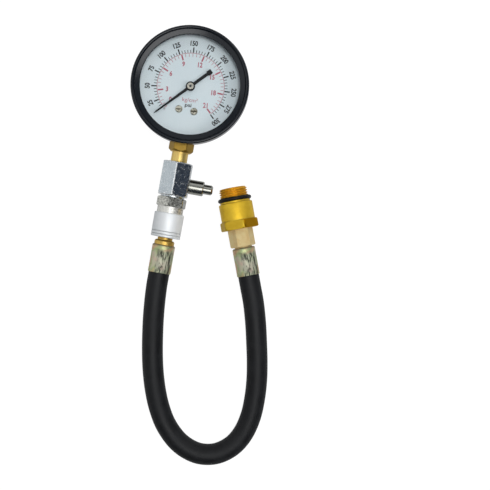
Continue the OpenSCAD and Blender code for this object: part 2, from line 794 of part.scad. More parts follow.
module bourdon_tube() {
    color("#b98a4a") rotate(tube_end) rotate_extrude(angle = tube_root - tube_end) difference() {
        oval_section(0);
        oval_section(-tube_wall);
    }
}

module tube_tip() {
    cap_t = tube_t + 2 * tip_rim;
    cap_low = min(stem_z - tube_w / 2 - tip_rim, lug_z);
    cap_top = max(stem_z + tube_w / 2 + tip_rim, lug_z + lug_t);
    color("#c9a24a") {
        rotate(tube_end - tip_angle) rotate_extrude(angle = tip_angle)
            translate([tube_r - cap_t / 2, cap_low]) square([cap_t, cap_top - cap_low]);
        translate([0, 0, lug_z]) linear_extrude(lug_t)
            bar2d(tip_pos, tube_r * [cos(tip_dir), sin(tip_dir)], lug_w);
        translate([tip_pos.x, tip_pos.y, link_z]) cylinder(r = pivot_r, h = lug_z - link_z, $fn = 32);
    }
}

module gauge_socket() {
    platform_end = movement_screw_y - 6;
    root = [tube_r * cos(tube_root), tube_r * sin(tube_root)];
    color("#a9813c") difference() {
        union() {
            translate([-block_w / 2, -block_end_y, block_bottom])
                cube([block_w, block_end_y - block_y, block_top - block_bottom]);
            translate([-block_w / 2, -block_y - join, block_bottom])
                cube([block_w, block_y + join - platform_end, platform_z - block_bottom]);
            along_stem() {
                hex_bar(shank_af, shank_turned_d, block_end_y - 1, st_neck, low = false,
                    cut = shank_chamfer, slope = 45);
                translate([0, 0, st_neck - join]) cylinder(d = neck_d, h = neck_len + join);
                translate([0, 0, st_tee - join]) cylinder(d = pipe_d, h = stem_thread_len + join);
            }
        }
        along_stem() translate([0, 0, -root.y - gas_d / 2])
            cylinder(d = gas_d, h = st_tee + stem_thread_len + root.y + gas_d);
        translate([root.x - 1, root.y, stem_z]) rotate([0, 90, 0]) cylinder(d = tube_t / 2, h = 1 - root.x);
        rotate(tube_root - 20) rotate_extrude(angle = 20) oval_section(seat);
        movement_screw_places() translate([0, 0, platform_z - 4])
            cylinder(d = 0.6 * movement_screw_d + 2 * seat, h = 5);
    }
}

// Tee and release valve

module tee_body() {
    top_bore = stem_thread_len + 0.5;
    gas_r = gas_d / 2;
    color("#b8bcc0") difference() {
        along_stem() {
            rotate(30) hex_bar(tee_af, tee_turned_d, st_tee, st_collar);
            translate([0, 0, st_collar - join]) cylinder(d = tee_collar_d, h = tee_collar_len + join);
            translate([0, 0, st_hex - join]) cylinder(d = pipe_d, h = stub_len + join);
        }
        along_stem() {
            translate([0, 0, st_tee - 1]) cylinder(d = pipe_d + 2 * seat, h = top_bore + 1);
            translate([0, 0, st_tee]) cylinder(r = gas_r, h = st_hex + stub_len + 1 - st_tee);
        }
        along_valve() {
            translate([0, 0, -valve_thread_len - seat])
                cylinder(d = valve_thread_d + 2 * seat, h = valve_thread_len + 2);
            translate([0, 0, -tee_af / 2]) cylinder(r = side_hole_r, h = tee_af / 2);
        }
    }
}

module release_valve_body() {
    r = valve_d / 2;
    edge = 0.5;
    color("#c3c7cb") along_valve() difference() {
        turned([[0, -valve_thread_len], [valve_thread_d / 2, -valve_thread_len], [valve_thread_d / 2, 0],
            [r - edge, 0], [r, edge], [r, valve_len - edge], [r - edge, valve_len], [0, valve_len]]);
        translate([0, 0, valve_floor])
            cylinder(r = valve_chamber_r, h = valve_len - valve_lip - valve_floor);
        cylinder(d = button_d + 2 * running, h = valve_len + 1);
        translate([0, 0, -valve_thread_len - 1]) cylinder(r = valve_hole_r, h = valve_thread_len + valve_len);
        translate([0, 0, -valve_thread_len - 1])
            cylinder(r = side_hole_r, h = valve_seat_v + valve_thread_len + 1);
    }
}

module release_button() {
    r = button_d / 2;
    top = valve_len + button_len;
    edge = 0.9;
    head_top = valve_seat_v - running - release_seal_t;
    head_low = head_top - valve_head_t;
    color("#cdd0d3") along_valve() turned([[0, head_low], [valve_head_r, head_low],
        [valve_head_r, head_top], [button_stem_r, head_top], [button_stem_r, button_flange_v],
        [button_flange_r, button_flange_v], [button_flange_r, button_flange_v + button_flange_t],
        [r, button_flange_v + button_flange_t], [r, top - edge], [r - edge, top], [0, top]]);
}

module release_seal() {
    top = valve_seat_v - running;
    color("#222222") along_valve()
        tube(valve_head_r, button_stem_r + seat, top - release_seal_t, top);
}

module release_spring() {
    mean_r = (button_stem_r + valve_chamber_r) / 2;
    color("#8f949a") along_valve()
        coil(mean_r, release_wire_d, valve_floor, button_flange_v, 3);
}

// Quick coupler

module coupler_body() {
    bore_r = plug_d / 2 + running;
    color("#c5c8cb") along_stem() difference() {
        union() {
            rotate(coupler_hex_turn) hex_bar(coupler_af, coupler_turned_d, st_hex, st_shoulder);
            translate([0, 0, st_shoulder - join])
                cylinder(d = shoulder_d, h = shoulder_end - st_shoulder + join);
            translate([0, 0, shoulder_end - join])
                cylinder(d = barrel_d, h = barrel_end - shoulder_end + join);
        }
        translate([0, 0, st_hex - 1]) cylinder(d = pipe_d + 2 * seat, h = stub_len + pass + 1);
        translate([0, 0, st_hex]) cylinder(d = gas_d, h = barrel_end - st_hex);
        translate([0, 0, st_nose - pass]) cylinder(r = bore_r, h = barrel_end - st_nose + 1);
        tube(bore_r + seal_wire_d, bore_r - 1, st_seal - seal_wire_d / 2 - seat,
            st_seal + seal_wire_d / 2 + seat);
        tube(barrel_d / 2 + 1, barrel_d / 2 - ring_depth, st_ring - seat, st_ring + ring_t + seat);
        ball_places() translate([0, 0, bore_r - 1]) cylinder(d = ball_d + 2 * running, h = barrel_d / 2);
    }
}

// Stands local +Z outwards through each ball, seen from the stem's own axis
module ball_places() {
    for (i = [0:ball_count - 1]) rotate(45 + i * 360 / ball_count) translate([0, 0, st_ball])
        rotate([0, 90, 0]) children();
}

module coupler_sleeve() {
    r = sleeve_d / 2;
    edge = 0.5;
    groove = 0.35;
    groove_pitch = 1.9;
    first_groove = st_sleeve_end - 1.8;
    bore_r = shoulder_d / 2 + running;
    color("#d9dbdc") along_stem() difference() {
        turned([[bore_r, st_sleeve], [r - edge, st_sleeve], [r, st_sleeve + edge], [r, st_sleeve_end - edge],
            [r - edge, st_sleeve_end], [mouth_r, st_sleeve_end], [mouth_r, land_end], [land_r, land_end],
            [land_r, land_start], [bore_r, land_start]]);
        for (i = [0, 1]) rotate_extrude() translate([r, first_groove - i * groove_pitch])
            polygon([[-groove, 0], [groove, 2 * groove], [groove, -2 * groove]]);
    }
}

module sleeve_spring() {
    mean_r = (barrel_d + shoulder_d) / 4;
    color("#8f949a") along_stem() coil(mean_r, sleeve_wire_d, shoulder_end, land_start, 3);
}

module sleeve_snap_ring() {
    gap_w = 3;
    color("#777b80") along_stem() difference() {
        tube(ring_r, barrel_d / 2 - ring_depth + seat, st_ring, st_ring + ring_t);
        translate([0, -gap_w / 2, st_ring - 1]) cube([2 * ring_r, gap_w, ring_t + 2]);
    }
}

module coupler_balls() {
    color("#b0b4b8") along_stem() ball_places() translate([0, 0, ball_r]) sphere(d = ball_d, $fn = 48);
}

module coupler_seal() {
    color("#1d1d1d") along_stem() rotate_extrude()
        translate([plug_d / 2 + running + seal_wire_d / 2, st_seal])
            circle(d = seal_wire_d - running, $fn = 32);
}

// Hose, its plug and its ferrules

module hose_plug() {
    r = plug_d / 2;
    nose_edge = 0.8;
    groove_low = st_ball - plug_groove_w / 2;
    groove_high = st_ball + plug_groove_w / 2;
    collar_r = plug_collar_d / 2;
    collar_edge = 0.8;
    tail_end = st_ferrule + tail_len;
    color("#c79a3e") along_stem() difference() {
        turned(concat([[0, st_nose], [r - nose_edge, st_nose], [r, st_nose + nose_edge], [r, groove_low],
            [plug_groove_r, groove_low], [plug_groove_r, groove_high], [r, groove_high], [r, st_plug_collar],
            [collar_r - collar_edge, st_plug_collar], [collar_r, st_plug_collar + collar_edge],
            [collar_r, st_ferrule]], barbs(st_ferrule, 1), [[tail_in_r, tail_end], [0, tail_end]]));
        translate([0, 0, st_nose - 1]) cylinder(d = gas_d, h = tail_end - st_nose + 2);
    }
}

// Crimped cup from its closed end at zero to its mouth, with flats where the die pressed it
module ferrule() {
    r = ferrule_d / 2;
    edge = 0.9;
    crimp_from = 3.2;
    crimp_len = ferrule_len - 2 * crimp_from;
    difference() {
        turned([[tail_out_r + seat, 0], [r - edge, 0], [r, edge], [r, ferrule_len],
            [hose_d / 2 + seat, ferrule_len], [hose_d / 2 + seat, ferrule_end_t],
            [tail_out_r + seat, ferrule_end_t]]);
        for (i = [0:crimp_flats - 1]) rotate(360 * (i + 0.5) / crimp_flats)
            translate([r - crimp_depth, -r, crimp_from]) cube([r, 2 * r, crimp_len]);
    }
}

module plug_ferrule() {
    color("#b3a35f") along_stem() translate([0, 0, st_ferrule]) ferrule();
}

module hose() {
    bore_r = tail_out_r + seat;
    color("#242526") difference() {
        sweep(smooth(hose_path, rings_per_point), hose_d / 2, hose_sides);
        along_stem() translate([0, 0, st_ferrule]) cylinder(r = bore_r, h = tail_len + seat);
        along_end() translate([0, 0, ferrule_len - tail_len - seat]) cylinder(r = bore_r, h = tail_len + 1);
    }
}

module end_ferrule() {
    color("#b3a35f") along_end() translate([0, 0, ferrule_len]) mirror([0, 0, 1]) ferrule();
}

// Far end: fitting, check valve and spark plug adaptor

module end_fitting() {
    top = end_flange + fitting_thread_len;
    tail_end = ferrule_len - tail_len;
    color("#d8cda0") along_end() difference() {
        union() {
            turned(concat([[0, tail_end], [tail_in_r, tail_end]],
                [for (i = [2 * barb_count - 1:-1:0]) barbs(ferrule_len, -1)[i]],
                [[fitting_neck_r, ferrule_len], [fitting_neck_r, end_hex + join], [0, end_hex + join]]));
            rotate(fitting_turn) hex_bar(fitting_af, fitting_turned_d, end_hex, end_flange, high = false);
            translate([0, 0, end_flange - join])
                cylinder(d = fitting_thread_d, h = fitting_thread_len + join);
        }
        translate([0, 0, tail_end - 1]) cylinder(d = gas_d, h = top - tail_end + 2);
        translate([0, 0, core_top - core_bore_len]) cylinder(r = core_r + seat, h = core_bore_len + 1);
    }
}

module check_valve_core() {
    color("#c79a3e") along_end() tube(core_r, pin_r + running, core_top - core_len, core_top);
}

module check_valve_pin() {
    head_top = core_top - core_len - running;
    cap = core_top + pin_rise;
    color("#b9bcc0") along_end() turned([[0, head_top - pin_head_t], [pin_head_r, head_top - pin_head_t],
        [pin_head_r, head_top], [pin_r, head_top], [pin_r, cap], [pin_cap_r, cap],
        [pin_cap_r, cap + pin_cap_t], [0, cap + pin_cap_t]]);
}

module check_valve_spring() {
    mean_r = pin_r + check_wire_d;
    color("#8f949a") along_end() coil(mean_r, check_wire_d, core_top, core_top + pin_rise, 3);
}

module spark_plug_adaptor() {
    body_r = adaptor_d / 2;
    thread_r = plug_thread_d / 2;
    edge = 0.7;
    bore_end = end_flange + fitting_thread_len + pass;
    color("#d1a93f") along_end() difference() {
        union() {
            rotate(flange_turn) hex_bar(flange_af, flange_turned_d, end_flange, end_body);
            turned([[0, end_body - join], [body_r, end_body - join], [body_r, end_step - edge],
                [body_r - edge, end_step], [seal_step_r, end_step], [seal_step_r, end_step + seal_step],
                [seal_land_r, end_step + seal_step], [seal_land_r, end_thread], [thread_r, end_thread],
                [thread_r, end_tip - thread_chamfer], [thread_r - thread_chamfer, end_tip], [0, end_tip]]);
        }
        translate([0, 0, end_flange - 1])
            cylinder(d = fitting_thread_d + 2 * seat, h = bore_end - end_flange + 1);
        cylinder(d = gas_hole_d, h = end_tip + 1);
    }
}

module adaptor_seal() {
    color("#161616") along_end() rotate_extrude()
        translate([seal_land_r + seat + seal_t / 2, end_step + seal_step + pass / 2 + seal_t / 2])
            circle(d = seal_t, $fn = 48);
}

case_shell();
bezel_ring();
lens_gasket();
lens();
dial_plate();
dial_spacers();
dial_screws();
stop_pin();
pointer();
pointer_bush();
pinion_shaft();
hairspring();
sector_gear();
sector_arbor();
link();
link_pin();
back_plate();
front_plate();
plate_pillars();
movement_screws();
bourdon_tube();
tube_tip();
gauge_socket();
tee_body();
release_valve_body();
release_button();
release_seal();
release_spring();
coupler_body();
coupler_sleeve();
sleeve_spring();
sleeve_snap_ring();
coupler_balls();
coupler_seal();
hose_plug();
plug_ferrule();
hose();
end_ferrule();
end_fitting();
check_valve_core();
check_valve_pin();
check_valve_spring();
spark_plug_adaptor();
adaptor_seal();
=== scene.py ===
"""Compression tester gauge, dressed round its solids: a dial gauge on a tee with a release valve, a quick
coupler, and a rubber hose that ends in a spark plug adaptor. Lengths are in metres, in the solids' frame."""
from math import cos, pi, radians, sin

import bpy
import numpy as np
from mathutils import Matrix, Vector


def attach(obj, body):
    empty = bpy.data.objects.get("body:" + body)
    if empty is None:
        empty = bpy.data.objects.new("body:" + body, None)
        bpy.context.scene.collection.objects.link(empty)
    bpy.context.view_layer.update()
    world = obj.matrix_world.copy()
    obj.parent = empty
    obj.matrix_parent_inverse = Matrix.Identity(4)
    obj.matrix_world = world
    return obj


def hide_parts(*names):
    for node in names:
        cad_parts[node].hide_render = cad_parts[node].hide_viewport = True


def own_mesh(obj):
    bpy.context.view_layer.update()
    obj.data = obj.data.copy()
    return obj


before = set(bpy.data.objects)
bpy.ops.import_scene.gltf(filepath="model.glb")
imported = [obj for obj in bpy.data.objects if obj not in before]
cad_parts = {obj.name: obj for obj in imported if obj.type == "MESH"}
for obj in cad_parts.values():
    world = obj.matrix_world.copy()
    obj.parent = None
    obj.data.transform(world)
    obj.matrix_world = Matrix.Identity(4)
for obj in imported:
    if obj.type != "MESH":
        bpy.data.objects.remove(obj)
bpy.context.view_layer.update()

# Camera: it hangs straight above the tester, which lies on its back, and is turned a little about the
# upright so that the stem leans to the left in the picture.
camera_roll = radians(10.08)
lens_data = bpy.data.cameras.new("camera")
lens_data.lens = 61.9
lens_data.sensor_width = 36.0
camera = bpy.data.objects.new("camera", lens_data)
camera.location = (0.0509, -0.0917, 0.550)
camera.rotation_euler = (0.0, 0.0, camera_roll)
bpy.context.scene.collection.objects.link(camera)
bpy.context.scene.camera = camera
bpy.context.scene.view_settings.view_transform = "Standard"


# Table: a wide sheet of matt white board that the tester lies on. It turns up white in the picture and
# in the metal, and keeps the soft shadow under the part.
class Shade:
    """A socket of a node tree. Sums on it add Math nodes, and make() adds a node of any other type."""

    def __init__(self, tree, socket=None):
        self.tree, self.socket = tree, socket

    def feed(self, socket, value):
        """Link another Shade to a node's socket, or set the socket to a plain value."""
        if isinstance(value, Shade):
            self.tree.links.new(value.socket, socket)
        else:
            socket.default_value = value

    def make(self, kind, settings=None, inputs=None, out=0):
        """Add a node of this type: its settings first, then the value or link of each socket."""
        made = self.tree.nodes.new("ShaderNode" + kind)
        for name, value in (settings or {}).items():
            if name == "stops":
                stops = made.color_ramp.elements
                while len(stops) < len(value):
                    stops.new(1.0)
                for stop, (place, colour) in zip(stops, value):
                    stop.position, stop.color = place, colour
            else:
                setattr(made, name, value)
        for name, value in (inputs or {}).items():
            self.feed(made.inputs[name], value)
        return Shade(self.tree, made.outputs[out])

    def sum(self, operation, first, second):
        """One Math node on two values."""
        return self.make("Math", {"operation": operation}, {0: first, 1: second})

    def __add__(self, other):
        return self.sum("ADD", self, other)

    __radd__ = __add__

    def __sub__(self, other):
        return self.sum("SUBTRACT", self, other)

    def __rsub__(self, other):
        return self.sum("SUBTRACT", other, self)

    def __mul__(self, other):
        return self.sum("MULTIPLY", self, other)

    __rmul__ = __mul__

    def over(self, low, high, bottom=0.0, top=1.0):
        """Stretch the values from low to high over bottom to top, and hold them there."""
        return self.make("MapRange", {"clamp": True}, {0: self, 1: low, 2: high, 3: bottom, 4: top})

    def between(self, first, second):
        """Mix two colours, with this value as the share of the second."""
        return self.make("Mix", {"data_type": "RGBA"}, {0: self, 6: first, 7: second}, out=2)


def rgb(red, green, blue):
    """A colour of the picture, in shares of 255, as the linear colour that renders as it."""
    shares = np.array([red, green, blue]) / 255
    linear = np.where(shares <= 0.04045, shares / 12.92, ((shares + 0.055) / 1.055) ** 2.4)
    return (*linear.tolist(), 1.0)


def new_material(name):
    """A material with the start of its node sums and its main shader's sockets."""
    made = bpy.data.materials.new(name)
    made.use_nodes = True
    return made, Shade(made.node_tree), made.node_tree.nodes["Principled BSDF"].inputs


def new_piece(name, points, faces, closed=True):
    """A smooth mesh object from an array of points and of faces. A closed one is turned to face outwards, by
    the sign of the volume that its faces fan out from the origin."""
    points, faces = points.reshape(-1, 3), np.asarray(faces)
    if closed:
        corner = points[faces]
        fan = np.cross(corner[:, 1] - corner[:, 0], corner[:, -1] - corner[:, 0])
        fan += np.cross(corner[:, -2] - corner[:, -1], corner[:, 1] - corner[:, -2]) * (faces.shape[1] == 4)
        if np.einsum("ij,ij->", corner.mean(axis=1), fan) < 0:
            faces = faces[:, ::-1]
    mesh = bpy.data.meshes.new(name)
    mesh.from_pydata(points.tolist(), [], faces.tolist())
    mesh.polygons.foreach_set("use_smooth", np.ones(len(faces), dtype=bool))
    piece = bpy.data.objects.new(name, mesh)
    bpy.context.scene.collection.objects.link(piece)
    return piece


table_side = 6.0
table_drop = 0.00015
corners = np.array([[-1, -1], [1, -1], [1, 1], [-1, 1]]) * table_side / 2
table = new_piece("table", np.c_[corners, np.full(4, -table_drop)], [[0, 1, 2, 3]], closed=False)
board, start, skin = new_material("white_board")
skin["Base Color"].default_value = (0.86, 0.86, 0.86, 1.0)
skin["Roughness"].default_value = 0.9
white_seen, white_mirrored, glow_share = (1.10, 1.10, 1.10, 1.0), (0.55, 0.56, 0.57, 1.0), 0.88
path_of = {name: start.make("LightPath", out=f"Is {name} Ray") for name in ("Camera", "Glossy", "Transmission")}
looked_at = path_of["Camera"].sum("MAXIMUM", path_of["Camera"], path_of["Glossy"] + path_of["Transmission"])
seen = path_of["Glossy"].between(white_seen, white_mirrored)
glow = start.make("Emission", inputs={"Color": seen, "Strength": 1.0})
lit = board.node_tree.nodes["Principled BSDF"].outputs[0]
shown = start.make("MixShader", inputs={0: looked_at * glow_share, 1: Shade(board.node_tree, lit), 2: glow})
start.feed(board.node_tree.nodes["Material Output"].inputs["Surface"], shown)
table.data.materials.append(board)

# Light: an overhead box and a fill on the right light the dull surfaces, and a soft box beside the camera, a panel
# behind and a panel, a box and a strip on the left are what bright metal and paint mirror. Cards of dark felt, out
# of the picture on the right and in front, give that metal its dark side, as on a small product table.
room = bpy.data.worlds.new("grey_room")
bpy.context.scene.world = room
room.use_nodes = True
room_light = room.node_tree.nodes["Background"].inputs
room_light["Color"].default_value = (0.92, 0.96, 1.0, 1.0)
room_light["Strength"].default_value = 0.24


def soft_box(name, place, aim, size, brightness, mirrored=True, lighting=True):
    """An area lamp at a place, facing a point. Its power is its brightness times its area times pi. It may be left
    out of what shiny things mirror, or out of what lights dull ones."""
    lamp = bpy.data.lights.new(name, "AREA")
    lamp.shape, lamp.size, lamp.size_y = "RECTANGLE", *size
    lamp.energy = brightness * size[0] * size[1] * pi
    box = bpy.data.objects.new(name, lamp)
    box.location = place
    box.rotation_euler = (Vector(aim) - box.location).to_track_quat("-Z", "Y").to_euler()
    box.visible_glossy, box.visible_diffuse = mirrored, lighting
    bpy.context.scene.collection.objects.link(box)


soft_box("over_box", (0.20, 0.01, 1.28), (0.0, -0.03, 0.0), (0.40, 0.40), 14.6, mirrored=False)
soft_box("key_box", (0.20, -0.26, 0.95), (0.05, -0.09, 0.0), (0.63, 0.60), 3.6, lighting=False)
soft_box("back_panel", (-0.05, 0.95, 1.00), (0.0, 0.0, 0.0), (1.4, 0.8), 0.5)
soft_box("left_panel", (-0.50, -0.02, 0.80), (0.0, 0.0, 0.0), (0.45, 0.7), 0.62, lighting=False)
soft_box("left_box", (-0.85, 0.10, 0.50), (0.03, -0.09, 0.0), (1.1, 0.7), 0.42, lighting=False)
soft_box("left_strip", (-0.92, -0.05, 0.12), (0.0, -0.09, 0.01), (1.1, 0.22), 0.72, lighting=False)
soft_box("right_fill", (0.78, -0.15, 0.62), (0.0, -0.09, 0.0), (0.4, 0.4), 6.0, mirrored=False)
soft_box("right_box", (0.65, 0.75, 0.55), (0.04, -0.06, 0.0), (0.7, 0.6), 1.1)
felt, _, skin = new_material("black_felt")
skin["Base Color"].default_value = (0.026, 0.036, 0.058, 1.0)
skin["Roughness"].default_value = 1.0
card_foot_z, card_top_z = 0.02, 1.10
card_ends = {"right_card": [(0.85, -0.9), (0.85, 0.2)], "front_card": [(-0.5, -0.95), (0.7, -0.95)]}
for name, ends in card_ends.items():
    low, high = (np.c_[ends, np.full(2, z)] for z in (card_foot_z, card_top_z))
    card = new_piece(name, np.vstack([low, high[::-1]]), [[0, 1, 2, 3]], closed=False)
    card.data.materials.append(felt)
    card.visible_camera = False

# Hose: black rubber hose with a bore, moulded smooth, pressed over a barbed tail at each end and lying in
# a loose U. Its middle rests on the table and its ends rise to the height of the stem.
MM = 0.001
hose_d, hose_bore_d = 13.4 * MM, 6.8 * MM
stem_z = 12.5 * MM
hose_low = 6.74 * MM
hose_start_y = -118.6 * MM
hose_inset = 16.76 * MM
hose_steps, hose_columns = 6, 56
far_axis = np.array([-0.34857, 0.93728, 0.0])
far_way = tuple(far_axis.tolist())
# x, distance along -Y from the first ferrule's mouth, share of the rise to the stem's height
hose_route = np.array([
    (0, 0, 1), (0, 8, 1), (0.4, 17, 0.95), (1.2, 27, 0.86), (2.5, 38, 0.74), (4.5, 51, 0.57), (7, 63, 0.41),
    (10.5, 75, 0.25), (15, 86, 0.12), (21, 96, 0.04), (29.5, 104.5, 0), (38.5, 109.2, 0), (47.5, 110.6, 0),
    (57, 108.3, 0), (65.5, 101.8, 0), (71, 92.5, 0.03), (73.8, 81, 0.1), (74.3, 69, 0.21), (73.5, 57, 0.36),
    (71.7, 45.5, 0.51), (69.2, 33.5, 0.67), (66.3, 21, 0.83), (62.8, 8.8, 0.96), (59.3, -0.7, 1), (56.5, -8.2, 1)])
route = np.c_[hose_route[:, 0] * MM, hose_start_y - hose_route[:, 1] * MM,
              hose_low + hose_route[:, 2] * (stem_z - hose_low)]
far_mouth = route[-1]
route = np.vstack([route[:1] + (0, hose_inset, 0), route, far_mouth + hose_inset * far_axis])


def smooth_path(points, steps):
    """Catmull-Rom curve: between two points it is the cubic that leaves each along the chord of its neighbours."""
    padded = np.vstack([points[:1], points, points[-1:]])
    before, here, there, after = (padded[k:len(points) - 1 + k] for k in range(4))
    t = (np.arange(steps) / steps)[:, None, None]
    curve = (2 * here + (there - before) * t + (2 * before - 5 * here + 4 * there - after) * t ** 2
             + (3 * here - before - 3 * there + after) * t ** 3) / 2
    return np.vstack([curve.transpose(1, 0, 2).reshape(-1, 3), points[-1:]])


def grid_faces(rows, columns):
    """Quads of a grid that closes on itself both ways."""
    row, column = np.meshgrid(np.arange(rows), np.arange(columns), indexing="ij")
    down, along = (row + 1) % rows, (column + 1) % columns
    return np.stack([row * columns + column, row * columns + along, down * columns + along,
                     down * columns + column], axis=-1).reshape(-1, 4)


def bored_tube(path, outside_r, bore_r, columns):
    """Ring of the outside radius carried along the path, and back again at the bore's radius. Each ring stands
    square to the path, with one of its axes level."""
    heading = np.gradient(path, axis=0)
    heading /= np.linalg.norm(heading, axis=1, keepdims=True)
    level = np.cross(heading, (0, 0, 1))
    level /= np.linalg.norm(level, axis=1, keepdims=True)
    rise = np.cross(level, heading)
    there_and_back = np.r_[np.arange(len(path)), np.arange(len(path))[::-1]]
    radius = np.repeat([outside_r, bore_r], len(path))[:, None, None]
    turn = (np.arange(columns) * 2 * pi / columns)[None, :, None]
    ring = np.cos(turn) * level[there_and_back, None] + np.sin(turn) * rise[there_and_back, None]
    return path[there_and_back, None] + radius * ring


hose_path = smooth_path(route, hose_steps)
hose_skin = bored_tube(hose_path, hose_d / 2, hose_bore_d / 2, hose_columns)
hose = new_piece("rubber_hose", hose_skin, grid_faces(*hose_skin.shape[:2]))
rubber, start, skin = new_material("hose_rubber")
place = start.make("TexCoord", out="Object")
cloudy = start.make("TexNoise", inputs={"Vector": place, "Scale": 90.0, "Detail": 5.0, "Roughness": 0.6})
grain = start.make("TexNoise", inputs={"Vector": place, "Scale": 1900.0, "Detail": 3.0})
bloom = cloudy.over(0.42, 0.72)
start.feed(skin["Base Color"], bloom.between(rgb(18, 19, 21), rgb(28, 29, 31)))
start.feed(skin["Roughness"], 0.46 + 0.12 * bloom + 0.06 * grain)
start.feed(skin["Normal"], start.make("Bump", inputs={"Height": grain, "Strength": 0.25, "Distance": 0.00006}))
skin["Specular IOR Level"].default_value = 0.25
hose.data.materials.append(rubber)
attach(hose, "hose_line")
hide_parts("hose")


# Case: a cup drawn from sheet steel and stoved satin black inside and out. The stem leaves through a hole in
# its wall, and its open rim carries the gasket and the lens.
def dress(finish, *names):
    """Give nodes of the frame a finish."""
    for name in names:
        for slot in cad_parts[name].material_slots:
            slot.material = finish


def black_stove_paint(name, colour, sheen, speck=0.5, gloss=0.5):
    """Satin black paint: a faint orange peel, and dust that lifts its colour in soft patches."""
    made, start, skin = new_material(name)
    place = start.make("TexCoord", out="Object")
    peel = start.make("TexNoise", inputs={"Vector": place, "Scale": 1400.0, "Detail": 2.0})
    dust = start.make("TexNoise", inputs={"Vector": place, "Scale": 160.0, "Detail": 6.0, "Roughness": 0.7})
    dusty = dust.over(0.45, 0.8) * speck
    start.feed(skin["Base Color"], dusty.between(colour, rgb(58, 61, 66)))
    start.feed(skin["Roughness"], sheen + 0.1 * dusty)
    skin["Specular IOR Level"].default_value = gloss
    edge = start.make("Bevel", {"samples": 6}, {"Radius": 0.00025})
    start.feed(skin["Normal"], start.make("Bump", inputs={"Height": peel, "Strength": 0.08, "Distance": 0.00005,
                                                           "Normal": edge}))
    return made


dress(black_stove_paint("case_paint", rgb(15, 16, 18), 0.34, speck=0.2), "case_shell")


# Movement: stamped brass plates on pillars, a toothed sector that turns the pinion, a hairspring, and the
# bronze pressure tube with its tip and link. It is screwed to the socket behind the dial.
def plain_metal(name, colour, tarnish, roughness):
    """Stamped or drawn metal: brushed lightly, with patches where it has dulled."""
    made, start, skin = new_material(name)
    place = start.make("TexCoord", out="Object")
    patches = start.make("TexNoise", inputs={"Vector": place, "Scale": 160.0, "Detail": 5.0, "Roughness": 0.65})
    fine = start.make("TexNoise", inputs={"Vector": place, "Scale": 2600.0, "Detail": 2.0})
    dull = patches.over(0.42, 0.75)
    start.feed(skin["Base Color"], dull.between(colour, tarnish))
    start.feed(skin["Roughness"], roughness + 0.14 * dull + 0.06 * fine)
    skin["Metallic"].default_value = 1.0
    edge = start.make("Bevel", {"samples": 6}, {"Radius": 0.00012})
    start.feed(skin["Normal"], start.make("Bump", inputs={"Height": fine, "Strength": 0.1, "Distance": 0.00003,
                                                           "Normal": edge}))
    return made


movement_brass = plain_metal("movement_brass", (0.80, 0.60, 0.28, 1.0), (0.55, 0.39, 0.17, 1.0), 0.28)
dress(movement_brass, "back_plate", "front_plate", "plate_pillars", "sector_gear", "link", "tube_tip",
      "dial_spacers")
ground_steel = plain_metal("ground_steel", (0.60, 0.60, 0.61, 1.0), (0.40, 0.39, 0.38, 1.0), 0.25)
dress(ground_steel, "sector_arbor", "link_pin", "movement_screws", "coupler_balls", "stop_pin")
dress(plain_metal("blued_steel", (0.10, 0.10, 0.11, 1.0), (0.05, 0.05, 0.05, 1.0), 0.35), "pinion_shaft")
tube_bronze = plain_metal("tube_bronze", (0.72, 0.46, 0.26, 1.0), (0.46, 0.29, 0.17, 1.0), 0.3)
dress(tube_bronze, "bourdon_tube", "hairspring")
spring_steel = plain_metal("spring_steel", (0.52, 0.53, 0.55, 1.0), (0.33, 0.33, 0.34, 1.0), 0.3)
dress(spring_steel, "sleeve_snap_ring")

# Dial: a flat sheet disc in pale bluish white enamel, screwed on over the movement and printed with a black
# scale in pounds per square inch outside a red one in kilograms per square centimetre.
dial_z = 22.0 * MM
print_lift, print_t = 0.004 * MM, 0.02 * MM
enamel, start, skin = new_material("dial_enamel")
place = start.make("TexCoord", out="Object")
flow = start.make("TexNoise", inputs={"Vector": place, "Scale": 60.0, "Detail": 3.0})
orange_peel = start.make("TexNoise", inputs={"Vector": place, "Scale": 2200.0, "Detail": 2.0})
start.feed(skin["Base Color"], flow.over(0.3, 0.7).between(rgb(222, 233, 238), rgb(228, 237, 241)))
start.feed(skin["Roughness"], 0.55 + 0.1 * orange_peel)
start.feed(skin["Normal"], start.make("Bump", inputs={"Height": orange_peel, "Strength": 0.05,
                                                       "Distance": 0.00003}))
dress(enamel, "dial_plate")

screw_brass, start, skin = new_material("screw_brass")
place = start.make("TexCoord", out="Object")
# Painted shade and painted reflection: the head darkens where its slot shuts it in, and dark noise patches stand in
# for the dark reflection across it.
open_air = start.make("AmbientOcclusion", {"samples": 8, "only_local": True}, {"Distance": 0.0009}, out="AO")
dark_reflection_patches = start.make("TexNoise", inputs={"Vector": place, "Scale": 520.0, "Detail": 4.0, "Roughness": 0.65})
painted_shade = (open_air.over(0.55, 0.95, 1.0, 0.0) + dark_reflection_patches.over(0.50, 0.58, 0.0, 0.9)).over(0.0, 1.0)
start.feed(skin["Base Color"], painted_shade.between((0.90, 0.85, 0.70, 1.0), (0.06, 0.05, 0.03, 1.0)))
start.feed(skin["Roughness"], 0.28 + 0.3 * painted_shade)
skin["Metallic"].default_value = 1.0
dress(screw_brass, "dial_screws")

# Angles on the dial run clockwise from the top of the picture, in degrees
zero_at, psi_step = -135.0, 23.3 / 25
kg_step = 14.223 * psi_step


def spokes(angles, inner_r, outer_r, width):
    """Ticks: for each angle, the four corners at two radii and half a width to either side of the spoke."""
    turn = np.radians(angles) - camera_roll
    out, side = np.c_[np.sin(turn), np.cos(turn)], np.c_[np.cos(turn), -np.sin(turn)]
    radius = np.array([inner_r, outer_r, outer_r, inner_r])[None, :, None]
    half = np.array([0.5, 0.5, -0.5, -0.5])[None, :, None] * width
    flat = (radius * out[:, None] + half * side[:, None]).reshape(-1, 2)
    return flat, np.arange(len(flat)).reshape(-1, 4)[:, ::-1]


